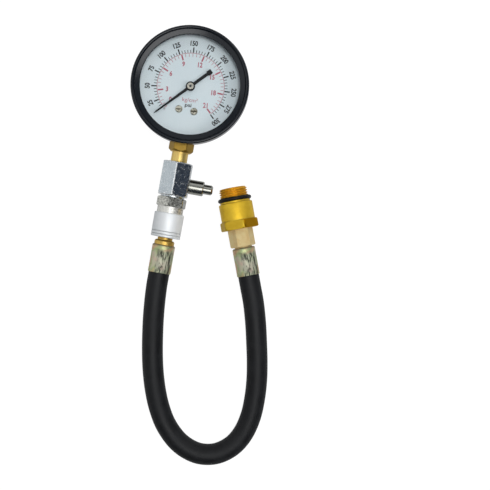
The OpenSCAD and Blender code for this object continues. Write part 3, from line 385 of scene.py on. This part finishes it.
def arc_band(first, last, inner_r, outer_r, steps):
    """Printed arc: two rows of points at two radii from the first angle to the last."""
    turn = np.radians(np.linspace(first, last, steps)) - camera_roll
    flat = (np.array([inner_r, outer_r])[:, None, None] * np.c_[np.sin(turn), np.cos(turn)]).reshape(-1, 2)
    here = np.arange(steps - 1)
    return flat, np.stack([here, here + 1, here + 1 + steps, here + steps], axis=-1)[:, ::-1]


def lettering(words, height, centre, tilt, squeeze=0.82, swell=0.0):
    """Flat filled outline of a word, as points and triangles: scaled to its height, narrowed, centred on the
    middle of its box, turned clockwise by tilt and moved to its centre."""
    curve = bpy.data.curves.new("word", "FONT")
    curve.body, curve.resolution_u, curve.offset = words, 4, swell
    holder = bpy.data.objects.new("word", curve)
    bpy.context.scene.collection.objects.link(holder)
    mesh = bpy.data.meshes.new_from_object(holder.evaluated_get(bpy.context.evaluated_depsgraph_get()))
    bpy.data.objects.remove(holder)
    mesh.calc_loop_triangles()
    flat = np.zeros(len(mesh.vertices) * 3)
    mesh.vertices.foreach_get("co", flat)
    flat = flat.reshape(-1, 3)[:, :2]
    triangles = np.zeros(len(mesh.loop_triangles) * 3, dtype=int)
    mesh.loop_triangles.foreach_get("vertices", triangles)
    triangles = triangles.reshape(-1, 3)
    low, high = flat.min(axis=0), flat.max(axis=0)
    flat = (flat - (low + high) / 2) * height / (high[1] - low[1]) * (squeeze, 1.0)
    turn = np.radians(tilt) - camera_roll
    flat = flat @ np.array([[np.cos(turn), -np.sin(turn)], [np.sin(turn), np.cos(turn)]]) + centre
    a, b, c = flat[triangles].transpose(1, 0, 2)
    upside = np.cross(b - a, c - a) < 0
    triangles[upside] = triangles[upside][:, ::-1]
    return flat, triangles


def on_dial(angle, radius):
    """Point of the dial's face: the radius times the sine and the cosine of the angle."""
    turn = np.radians(angle) - camera_roll
    return radius * np.array([np.sin(turn), np.cos(turn)])


def printed(name, marks, colour):
    """One layer of ink: all its marks laid on the dial's face, with the ink's own thickness."""
    starts = np.cumsum([0] + [len(flat) for flat, _ in marks])
    flat = np.vstack([flat for flat, _ in marks])
    faces = [face for (_, mark), first in zip(marks, starts) for face in (mark + first).tolist()]
    mesh = bpy.data.meshes.new(name)
    mesh.from_pydata(np.c_[flat, np.full(len(flat), dial_z + print_lift)].tolist(), [], faces)
    piece = bpy.data.objects.new(name, mesh)
    bpy.context.scene.collection.objects.link(piece)
    body = piece.modifiers.new("ink", "SOLIDIFY")
    body.thickness, body.offset = print_t, 1.0
    ink, start, skin = new_material(name + "_ink")
    place = start.make("TexCoord", out="Object")
    thin = start.make("TexNoise", inputs={"Vector": place, "Scale": 1500.0, "Detail": 3.0}).over(0.5, 0.8)
    start.feed(skin["Base Color"], (0.15 * thin).between(colour, rgb(150, 150, 150)))
    skin["Roughness"].default_value = 0.6
    mesh.materials.append(ink)
    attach(piece, "gauge_head")
    return piece


psi_r, psi_short_r, psi_long_r, psi_number_r = 21.35 * MM, 23.1 * MM, 24.7 * MM, 27.2 * MM
psi_short_w, psi_long_w, psi_number_h, psi_word_h = 0.42 * MM, 0.80 * MM, 3.25 * MM, 2.9 * MM
psi = np.arange(10, 301, 5)
numbered = psi % 25 == 0
black_marks = [spokes(zero_at + psi[numbered] * psi_step, psi_r, psi_long_r, psi_long_w),
               spokes(zero_at + psi[~numbered] * psi_step, psi_r, psi_short_r, psi_short_w)]
black_marks += [lettering(str(value), psi_number_h, on_dial(zero_at + value * psi_step, psi_number_r),
                          zero_at + value * psi_step, squeeze=0.83, swell=0.035) for value in psi[numbered]]
black_marks.append(lettering("psi", psi_word_h, on_dial(187.6, 12.0 * MM), 8.0, squeeze=1.25, swell=0.02))
black_print = printed("black_scale", black_marks, rgb(14, 17, 22))

kg_r, kg_short_r, kg_long_r, kg_number_r = 20.7 * MM, 18.8 * MM, 17.2 * MM, 14.9 * MM
kg_short_w, kg_long_w, kg_number_h, kg_word_h = 0.28 * MM, 0.95 * MM, 3.2 * MM, 3.15 * MM
arc_from, arc_inner_r, arc_outer_r = -122.0, 20.95 * MM, 21.25 * MM
kg = np.arange(0.5, 21.01, 0.5)
numbered = kg % 3 == 0
red_marks = [spokes(zero_at + kg[numbered] * kg_step, kg_long_r, kg_r, kg_long_w),
             spokes(zero_at + kg[~numbered] * kg_step, kg_short_r, kg_r, kg_short_w),
             arc_band(arc_from, zero_at + 21 * kg_step, arc_inner_r, arc_outer_r, 180)]
red_numbers_at = {0: -121.4, 3: -95.3, 6: -56.0, 9: -17.3, 12: 23.8, 15: 66.4, 18: 105.0, 21: 142.0}
red_marks += [lettering(str(value), kg_number_h, on_dial(angle, kg_number_r), 5.0, swell=0.03)
              for value, angle in red_numbers_at.items()]
red_marks.append(lettering("kg/cm²", kg_word_h, on_dial(183.0, 8.7 * MM), 7.0, squeeze=1.08))
red_print = printed("red_scale", red_marks, rgb(182, 88, 106))

# Pointer: a stamped blade with a square paddle on its tail and a boss, painted matt black and pressed on the
# pinion's shaft by a bright turned bush. A pin in the dial stops it at rest.
dress(black_stove_paint("pointer_paint", rgb(8, 11, 14), 0.5, speck=0.05, gloss=0.2), "pointer")
dress(plain_metal("hub_metal", (0.80, 0.76, 0.66, 1.0), (0.66, 0.61, 0.50, 1.0), 0.24), "pointer_bush")

# Lens: a flat disc of window glass that lies on a black rubber gasket in the case's rim, where the bezel's lip
# holds it down. The same moulded rubber makes the seals of the valve, the coupler and the adaptor.
glass, start, skin = new_material("lens_glass")
skin["Base Color"].default_value = (1.0, 1.0, 1.0, 1.0)
skin["Roughness"].default_value = 0.02
skin["Metallic"].default_value = 1.0
clear = start.make("BsdfTransparent", inputs={"Color": (0.985, 0.992, 0.992, 1.0)})
slant = start.make("LayerWeight", inputs={"Blend": 0.5}, out="Facing")
mirror_ahead, mirror_gain, mirror_power = 0.03, 0.9, 5.0
mirror = mirror_ahead + mirror_gain * slant.sum("POWER", slant, mirror_power)
gloss = Shade(glass.node_tree, glass.node_tree.nodes["Principled BSDF"].outputs[0])
pane = start.make("MixShader", inputs={0: mirror, 1: clear, 2: gloss})
start.feed(glass.node_tree.nodes["Material Output"].inputs["Surface"], pane)
dress(glass, "lens")


def seal_rubber(name):
    """Moulded black rubber: dull, with a faint bloom."""
    made, start, skin = new_material(name)
    place = start.make("TexCoord", out="Object")
    bloom = start.make("TexNoise", inputs={"Vector": place, "Scale": 400.0, "Detail": 4.0}).over(0.4, 0.8)
    start.feed(skin["Base Color"], bloom.between(rgb(8, 7, 6), rgb(17, 15, 13)))
    start.feed(skin["Roughness"], 0.42 + 0.15 * bloom)
    skin["Specular IOR Level"].default_value = 0.3
    return made


dress(seal_rubber("seal_rubber"), "lens_gasket", "release_seal", "coupler_seal", "adaptor_seal")

# Bezel: a pressed steel ring with a rolled bead and a sloping lip, stoved satin black, snapped over the
# case's rim so that it holds the lens down.
dress(black_stove_paint("bezel_paint", rgb(17, 22, 29), 0.16, speck=0.08, gloss=0.36), "bezel_ring")


# Stem: the gauge's brass socket, a hexagon shank with a turned neck, soldered to the pressure tube inside the
# case and screwed into the tee.
def turned_metal(name, colour, tarnish, roughness, axis, patch=120.0, ring_depth=0.12, metal=1.0, painted_shade=0.0,
                 zone=None, shaded_side=None):
    """Metal cut in a lathe: fine rings across the axis from noise along it alone, and soft dull patches. The
    patches are harder and darker on the side that a given direction faces, and the colour darkens where a groove is
    shut in: both are painted shade. A zone, between two stations along the axis, may have a colour and roughness of
    its own: a real finish, or a lighter copy of the metal that is painted light."""
    zone_fade, edge_r, groove_w = 0.0002, 0.0002, 0.0011
    made, start, skin = new_material(name)
    place = start.make("TexCoord", out="Object")
    along = start.make("VectorMath", {"operation": "DOT_PRODUCT"}, {0: place, 1: axis}, out="Value")
    rings = start.make("TexNoise", {"noise_dimensions": "1D"}, {"W": along * 5200.0, "Scale": 1.0, "Detail": 3.0})
    patches = start.make("TexNoise", inputs={"Vector": place, "Scale": patch, "Detail": 5.0, "Roughness": 0.65})
    dull = patches.over(0.40, 0.75)
    # Painted shade: on the side that this direction faces, the dull patches are harder and darker.
    if shaded_side:
        faces = start.make("NewGeometry", out="Normal")
        turned = start.make("VectorMath", {"operation": "DOT_PRODUCT"}, {0: faces, 1: shaded_side}, out="Value")
        dull = dull + turned.over(0.25, 0.40) * (patches.over(0.43, 0.58) - dull)
    shown, rough = dull.between(colour, tarnish), roughness + 0.12 * dull + 0.08 * rings
    if zone:
        first, last, zone_colour, zone_roughness = zone
        inside = along.over(first - zone_fade, first) * along.over(last, last + zone_fade, 1.0, 0.0)
        shown = (inside * dull.over(0.0, 1.0, 1.0, 0.5)).between(shown, zone_colour)
        rough = rough + inside * (zone_roughness - roughness)
    # Painted shade: the colour darkens where a groove shuts the surface in.
    if painted_shade:
        open_air = start.make("AmbientOcclusion", {"samples": 8, "only_local": True}, {"Distance": groove_w},
                              out="AO")
        shown = open_air.over(0.6, 0.97, painted_shade, 0.0).between(shown, (0.05, 0.05, 0.045, 1.0))
    start.feed(skin["Base Color"], shown)
    start.feed(skin["Roughness"], rough)
    skin["Metallic"].default_value = metal
    edge = start.make("Bevel", {"samples": 6}, {"Radius": edge_r})
    start.feed(skin["Normal"], start.make("Bump", inputs={"Height": rings, "Strength": ring_depth,
                                                           "Distance": 0.00004, "Normal": edge}))
    return made


stem_axis = (0.0, 1.0, 0.0)
# Painted light: the turned neck is given a lighter, yellower copy of the shank's brass.
neck = (-47.5 * MM, -40.8 * MM, (0.85, 0.62, 0.20, 1.0), 0.34)
dress(turned_metal("stem_brass", (0.42, 0.265, 0.048, 1.0), (0.32, 0.19, 0.03, 1.0), 0.36, stem_axis, metal=0.85,
                   zone=neck), "gauge_socket")

# Tee: hexagon steel bar, drilled and tapped, with a turned collar; bright nickel plate over a surface that is
# faintly pitted.
tee_nickel, start, skin = new_material("tee_nickel")
place = start.make("TexCoord", out="Object")
clouds = start.make("TexNoise", inputs={"Vector": place, "Scale": 330.0, "Detail": 6.0, "Roughness": 0.7})
haze = clouds.over(0.35, 0.7)
pits = start.make("TexNoise", inputs={"Vector": place, "Scale": 1500.0, "Detail": 3.0, "Roughness": 0.6})
edge = start.make("Bevel", {"samples": 8}, {"Radius": 0.0011})
flat = start.make("NewGeometry", out="Normal")
bent = 1.0 - start.make("VectorMath", {"operation": "DOT_PRODUCT"}, {0: edge, 1: flat}, out="Value")
ragged = start.make("TexNoise", inputs={"Vector": place, "Scale": 620.0, "Detail": 4.0, "Roughness": 0.7})
# Painted highlight: along the hexagon's rounded edges, ragged by noise, the plate turns near white and rougher.
edge_highlight = (bent.over(0.004, 0.05) + ragged.over(0.35, 0.65, -0.9, 0.4)).over(0.1, 0.5)
plate = haze.between((0.58, 0.64, 0.68, 1.0), (0.66, 0.72, 0.75, 1.0))
start.feed(skin["Base Color"], edge_highlight.between(plate, (0.93, 0.94, 0.94, 1.0)))
start.feed(skin["Roughness"], 0.13 + 0.12 * haze + 0.35 * edge_highlight)
skin["Metallic"].default_value = 1.0
start.feed(skin["Normal"], start.make("Bump", inputs={"Height": pits.over(0.5, 0.75), "Strength": 0.45,
                                                       "Distance": 0.00006, "Normal": edge}))
dress(tee_nickel, "tee_body")

# Release valve: a turned valve body screwed into the tee's side flat, with a push button sliding in its end,
# both polished and plated. A coil spring on the button's stem pushes it out and shortens as it is pressed.
valve_axis = (1.0, 0.0, 0.0)
dress(turned_metal("valve_chrome", (0.44, 0.44, 0.40, 1.0), (0.33, 0.33, 0.29, 1.0), 0.14, valve_axis,
                   ring_depth=0.06), "release_valve_body", "release_button")


def coil_wire(foot, axis, mean_r, wire_r, length, turns):
    """Helix of a mean radius round the axis, with a ring of the wire's radius carried along it: each ring lies
    between the direction out from the axis and the one square to that and to the wire. Three quads close each
    end."""
    columns, steps = 8, 28 * turns
    share = np.linspace(0, 1, steps + 1)[:, None]
    axis = np.asarray(axis)
    side, down = np.array([axis[1], -axis[0], 0.0]), np.array([0.0, 0.0, -1.0])
    out = np.cos(2 * pi * turns * share) * side + np.sin(2 * pi * turns * share) * down
    path = foot + (wire_r + (length - 2 * wire_r) * share) * axis + mean_r * out
    heading = np.gradient(path, axis=0)
    square = np.cross(heading, out)
    square /= np.linalg.norm(square, axis=1, keepdims=True)
    turn = (np.arange(columns) * 2 * pi / columns)[None, :, None]
    skin = path[:, None] + wire_r * (np.cos(turn) * out[:, None] + np.sin(turn) * square[:, None])
    end = np.array([[0, 1, 2, 3], [0, 3, 4, 7], [7, 4, 5, 6]])
    return skin, np.vstack([grid_faces(steps + 1, columns)[:steps * columns], end[:, ::-1], end + steps * columns])


def make_spring(name, node, body, foot, axis, mean_r, wire_r, length, travel):
    """A coil spring in place of a stiff one, with its foot at the given place. The joint's travel is not used: the
    spring keeps its length.
    """
    turns = 3
    spring = new_piece(name, *coil_wire(foot, axis, mean_r, wire_r, length, turns))
    spring.data.materials.append(spring_steel)
    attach(spring, body)
    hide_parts(node)
    1 - travel / length
    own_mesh(spring)
    return spring


button_foot, button_travel = (10.5 * MM, -61.3 * MM, stem_z), 2.4 * MM
button_coil_r, button_wire_r, button_coil_len = 2.45 * MM, 0.34 * MM, 5.0 * MM
make_spring("button_spring", "release_spring", "gauge_head", button_foot, valve_axis,
            button_coil_r, button_wire_r, button_coil_len, button_travel)

# Quick coupler: a nickel plated body with a hexagon and a shoulder, screwed on the tee's stub, and a satin
# turned aluminium sleeve that slides back, against a coil spring inside it, to free the hose's plug.
# Painted light: the shoulder is given a lighter copy of the nickel. Painted shade: where the body faces the valve,
# its near black patches are harder.
shoulder = (-80.2 * MM, -76.2 * MM, (0.84, 0.83, 0.78, 1.0), 0.37)
dress(turned_metal("coupler_nickel", (0.58, 0.58, 0.53, 1.0), (0.05, 0.05, 0.045, 1.0), 0.15, stem_axis,
                   patch=800.0, ring_depth=0.08, metal=0.8, shaded_side=valve_axis, zone=shoulder), "coupler_body")
# Painted shade: the sleeve's grooves darken where they shut the surface in.
dress(turned_metal("sleeve_aluminium", (0.83, 0.85, 0.86, 1.0), (0.76, 0.79, 0.81, 1.0), 0.45, stem_axis,
                   ring_depth=0.10, metal=0.3, painted_shade=0.45), "coupler_sleeve")
sleeve_foot, sleeve_way, sleeve_travel = (0.0, -82.2 * MM, stem_z), (0.0, -1.0, 0.0), 3.6 * MM
sleeve_coil_r, sleeve_wire_r, sleeve_coil_len = 7.4 * MM, 0.49 * MM, 7.3 * MM
make_spring("return_spring", "sleeve_spring", "gauge_head", sleeve_foot, sleeve_way,
            sleeve_coil_r, sleeve_wire_r, sleeve_coil_len, sleeve_travel)

# Hose plug: turned from brass bar, with a groove that the coupler's balls hold, a collar that shows below the
# sleeve and a barbed tail pressed into the hose.
dress(turned_metal("plug_brass", (0.72, 0.48, 0.12, 1.0), (0.50, 0.31, 0.06, 1.0), 0.36, stem_axis, metal=0.9),
      "hose_plug")


# Ferrules: short cups of steel tube in yellow zinc plate, pressed on the hose's ends by a die that leaves
# flats with ridges between them and dark scuffs along them.
def bar_surface(rows, flats, corner_turn, foot, axis, columns):
    """Turned bar with flats. At each station its radius is the smaller of the turned radius and the distance to
    the nearest flat, as a high power mean of the two, so that they meet in a slightly rounded corner."""
    station, turned_r, flat_r = (np.asarray(rows, dtype=float) * MM).T[:, :, None]
    turn = radians(corner_turn) + np.arange(columns)[None] * 2 * pi / columns
    from_flat = (turn - radians(corner_turn)) % (2 * pi / flats) - pi / flats
    sharpness = 70.0
    with np.errstate(divide="ignore"):
        radius = (turned_r ** -sharpness + (flat_r / np.cos(from_flat)) ** -sharpness) ** (-1 / sharpness)
    side, down = np.array([axis[1], -axis[0], 0.0]), np.array([0.0, 0.0, -1.0])
    ring = np.cos(turn)[..., None] * side + np.sin(turn)[..., None] * down
    return foot + station[..., None] * np.asarray(axis) + radius[..., None] * ring


ferrule_len, ferrule_r, ferrule_wall_r = 18.0, 7.25, 6.74
crimp_from, crimp_ramp, crimp_r, crimp_ease = 2.6, 1.1, 6.98, 0.25
end_round, mouth_round, floor_v, hole_r = 0.9, 0.35, 1.2, 3.4
ferrule_flats, ferrule_columns = 8, 144
away = np.inf


def ferrule_rows():
    """Stations of the cup's outside from its closed end to its mouth, then of its bore back to the end. The
    flats come in over a short ramp, as a smooth step, at both ends of the die's reach."""
    edge = np.linspace(0, pi / 2, 6)
    outside = [(end_round * (1 - sin(a)), ferrule_r - end_round * (1 - cos(a)), away) for a in edge[::-1]]
    open_r = ferrule_r + crimp_ease
    for share in np.linspace(0, 1, 60):
        v = end_round + share * (ferrule_len - end_round - mouth_round)
        into = np.clip(min(v - crimp_from, ferrule_len - crimp_from - v) / crimp_ramp, 0, 1)
        outside.append((v, ferrule_r, open_r - (open_r - crimp_r) * into ** 2 * (3 - 2 * into)))
    mouth = [(ferrule_len - mouth_round * (1 - sin(a)), ferrule_r - mouth_round * (1 - cos(a)), away) for a in edge]
    inside = [(ferrule_len, ferrule_wall_r, away), (floor_v, ferrule_wall_r, away), (floor_v, hole_r, away),
              (0.0, hole_r, away)]
    return outside + mouth + inside


def zinc_plate(name, axis, foot):
    """Yellow zinc plate: rose, gold and green that drift into each other, rubbed grey in the band that the die
    gripped, where dark scuffs are drawn out along the axis. The closed end darkens where it meets the next part:
    painted shade."""
    made, start, skin = new_material(name)
    place = start.make("TexCoord", out="Object")
    lean = -np.arctan2(axis[0], axis[1])
    own = start.make("Mapping", {"vector_type": "TEXTURE"},
                     {"Vector": place, "Location": tuple(foot), "Rotation": (0.0, 0.0, lean)})
    drift = start.make("TexNoise", inputs={"Vector": own, "Scale": 120.0, "Detail": 1.5, "Distortion": 0.6})
    tint = start.make("ValToRGB", {"stops": [(0.30, (0.74, 0.44, 0.34, 1.0)), (0.42, (0.66, 0.50, 0.27, 1.0)),
                                             (0.53, (0.45, 0.53, 0.27, 1.0)), (0.64, (0.64, 0.60, 0.44, 1.0)),
                                             (0.76, (0.74, 0.47, 0.38, 1.0))]}, {"Fac": drift})
    drawn = start.make("Mapping", inputs={"Vector": own, "Scale": (1.0, 0.2, 1.0)})
    scuff = start.make("TexNoise", inputs={"Vector": drawn, "Scale": 800.0, "Detail": 4.0, "Roughness": 0.6})
    across, along = (start.make("SeparateXYZ", inputs={"Vector": own}, out=name) for name in "XY")
    band_offset, band_half_w, band_fade = 0.0020, 0.0040, 0.0012
    from_band = across + band_offset
    band = from_band.sum("ABSOLUTE", from_band, 0.0).over(band_half_w, band_half_w + band_fade, 1.0, 0.08)
    gripped = band * along.over(0.0026, 0.0046)
    worn = scuff.over(0.45, 0.57) * gripped
    rubbed = (0.6 * gripped).between(tint, (0.50, 0.52, 0.42, 1.0))
    # Painted shade: the closed end darkens to dark brown over its first millimetre or so, where it meets the next
    # part.
    end_shade = along.over(0.0004, 0.0016, 0.65, 0.0).between(rubbed, (0.10, 0.07, 0.05, 1.0))
    start.feed(skin["Base Color"], (0.92 * worn).between(end_shade, (0.05, 0.055, 0.04, 1.0)))
    start.feed(skin["Roughness"], 0.46 + 0.16 * gripped + 0.1 * worn)
    skin["Metallic"].default_value = 0.75
    start.feed(skin["Normal"], start.make("Bump", inputs={"Height": scuff, "Strength": 0.3, "Distance": 0.00006}))
    return made


def make_ferrule(name, node, foot, axis):
    """A ferrule in place of a plain one, with its closed end at the foot and its mouth along the axis."""
    skin = bar_surface(ferrule_rows(), ferrule_flats, 0.0, foot, axis, ferrule_columns)
    ferrule = new_piece(name, skin, grid_faces(*skin.shape[:2]))
    ferrule.data.set_sharp_from_angle(angle=radians(40))
    ferrule.data.materials.append(zinc_plate(name + "_zinc", axis, foot))
    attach(ferrule, "hose_line")
    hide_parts(node)
    return ferrule


near_ferrule = make_ferrule("near_ferrule", "plug_ferrule", np.array([0.0, -100.6 * MM, stem_z]),
                            np.array([0.0, -1.0, 0.0]))
far_ferrule = make_ferrule("far_ferrule", "end_ferrule", far_mouth + ferrule_len * MM * far_axis, -far_axis)

# End fitting: hexagon bar in pale yellow zinc plate, with a barbed tail in the hose and a thread in the
# adaptor. A small check valve in its tip, like a tyre's, keeps the reading on the dial.
dress(turned_metal("fitting_zinc", (0.87, 0.75, 0.45, 1.0), (0.83, 0.66, 0.36, 1.0), 0.80, far_way, patch=200.0,
                   ring_depth=0.06, metal=0.85), "end_fitting")
core_brass = plain_metal("core_brass", (0.80, 0.58, 0.20, 1.0), (0.58, 0.40, 0.12, 1.0), 0.25)
dress(core_brass, "check_valve_core", "check_valve_pin")
core_top_v = 45.5
check_foot, check_travel = tuple((far_mouth + core_top_v * MM * far_axis).tolist()), 1.2 * MM
check_coil_r, check_wire_r, check_coil_len = 1.05 * MM, 0.17 * MM, 2.6 * MM
check_spring = make_spring("check_spring", "check_valve_spring", "hose_line", check_foot, far_way,
                           check_coil_r, check_wire_r, check_coil_len, check_travel)

# Spark plug adaptor: turned from hexagon brass, with a flange for a spanner, a round body, a groove for its
# seal ring and an 18 mm thread that screws into the spark plug's hole.
flange_v, body_v, step_v, groove_v, thread_v, tip_v = 30.1, 35.7, 47.0, 48.1, 51.0, 56.6
flange_flat_r, flange_turned_r, flange_chamfer, chamfer_steps = 11.0, 12.55, 0.55, 6
body_r, step_r, groove_r, thread_r, gas_r, bore_r, bore_v = 10.75, 9.6, 8.2, 9.0, 4.0, 6.94, 46.0
thread_pitch, thread_depth, tip_chamfer, body_round = 1.5, 0.85, 0.9, 0.7


def chamfered(first, last, r, flat_r):
    """Stations of a hexagon whose corners are turned off at a slope of 30 degrees at both ends."""
    slope = flange_chamfer / np.tan(pi / 6)
    rise = np.linspace(0, 1, chamfer_steps)
    low = [(first + flange_chamfer * k, r - slope * (1 - k), flat_r) for k in rise]
    return low + [(first + last - v, turned, flat) for v, turned, flat in low[::-1]]


def rounded_edge(v, r, size, steps=5):
    """Stations of an outside edge rounded to a quarter circle before it ends at v."""
    turn = np.linspace(0, pi / 2, steps)
    return [(v - size + size * sin(a), r - size + size * cos(a), away) for a in turn]


thread_stations = np.linspace(thread_v, tip_v, 120)
adaptor_rows = [(flange_v, bore_r, away)] + chamfered(flange_v, body_v, flange_turned_r, flange_flat_r)
adaptor_rows += [(body_v, body_r, away)] + rounded_edge(step_v, body_r, body_round)
adaptor_rows += [(step_v, step_r, away), (groove_v, step_r, away), (groove_v, groove_r, away),
                 (thread_v, groove_r, away)]
first_thread_row = len(adaptor_rows)
adaptor_rows += [(v, min(thread_r, thread_r - tip_chamfer + tip_v - v), away) for v in thread_stations]
adaptor_rows += [(tip_v, gas_r, away), (bore_v, gas_r, away), (bore_v, bore_r, away)]


def screw_thread(skin, rows, foot, axis):
    """Cut a thread into these rows: the wave that goes once round for each pitch along is held flat at its crest
    and root, and takes the points in towards the axis by its depth, fading in over half a pitch."""
    columns = skin.shape[1]
    station = np.array([row[0] for row in adaptor_rows])[rows][:, None]
    wave = np.abs(2 * ((station / thread_pitch - np.arange(columns)[None] / columns) % 1) - 1)
    start_in = np.clip((station - thread_v) / (thread_pitch / 2), 0, 1)
    cut = (1 - np.clip((wave - 0.2) / 0.65, 0, 1)) * start_in * thread_depth * MM
    centre = foot + station[..., None] * MM * axis
    out = skin[rows] - centre
    reach = np.linalg.norm(out, axis=-1)
    keep = np.maximum(np.minimum(reach, thread_r * MM - cut), 0.5 * reach)
    skin[rows] = centre + out * (keep / reach)[..., None]
    return skin


adaptor_skin = bar_surface(adaptor_rows, 6, -15.0, far_mouth, far_axis, 180)
thread_rows = slice(first_thread_row, first_thread_row + len(thread_stations))
adaptor_skin = screw_thread(adaptor_skin, thread_rows, far_mouth, far_axis)
adaptor = new_piece("brass_adaptor", adaptor_skin, grid_faces(*adaptor_skin.shape[:2]))
adaptor.data.set_sharp_from_angle(angle=radians(32))
along_foot = float(far_mouth @ far_axis)
thread = (along_foot + thread_v * MM, along_foot + tip_v * MM, (1.0, 0.52, 0.022, 1.0), 0.34)
# Painted shade: the adaptor's brass darkens where its thread and seal groove shut the surface in.
for finish in (turned_metal("adaptor_brass", (0.85, 0.57, 0.043, 1.0), (0.72, 0.455, 0.026, 1.0), 0.42, far_way,
                            ring_depth=0.10, metal=0.8, painted_shade=0.3, zone=thread),
               turned_metal("shaded_flat_brass", (0.62, 0.31, 0.006, 1.0), (0.55, 0.26, 0.004, 1.0), 0.34, far_way,
                            ring_depth=0.10),
               turned_metal("flange_brass", (0.66, 0.445, 0.032, 1.0), (0.58, 0.37, 0.02, 1.0), 0.46, far_way,
                            ring_depth=0.10, metal=0.8)):
    adaptor.data.materials.append(finish)
# The flange has a duller brass than the body. Its flat that faces up and to the right is darker still: painted
# shade.
row, column = np.divmod(np.arange(len(adaptor.data.polygons)), adaptor_skin.shape[1])
flange = (row >= 1) & (row < 2 * chamfer_steps)
shaded_flat = flange & (column >= 5 * adaptor_skin.shape[1] // 6)
slot_of = np.where(shaded_flat, 1, np.where(flange, 2, 0))
adaptor.data.polygons.foreach_set("material_index", slot_of.astype(np.int32))
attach(adaptor, "hose_line")
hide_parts("spark_plug_adaptor")

hose_length = float(np.linalg.norm(np.diff(hose_path, axis=0), axis=1).sum())
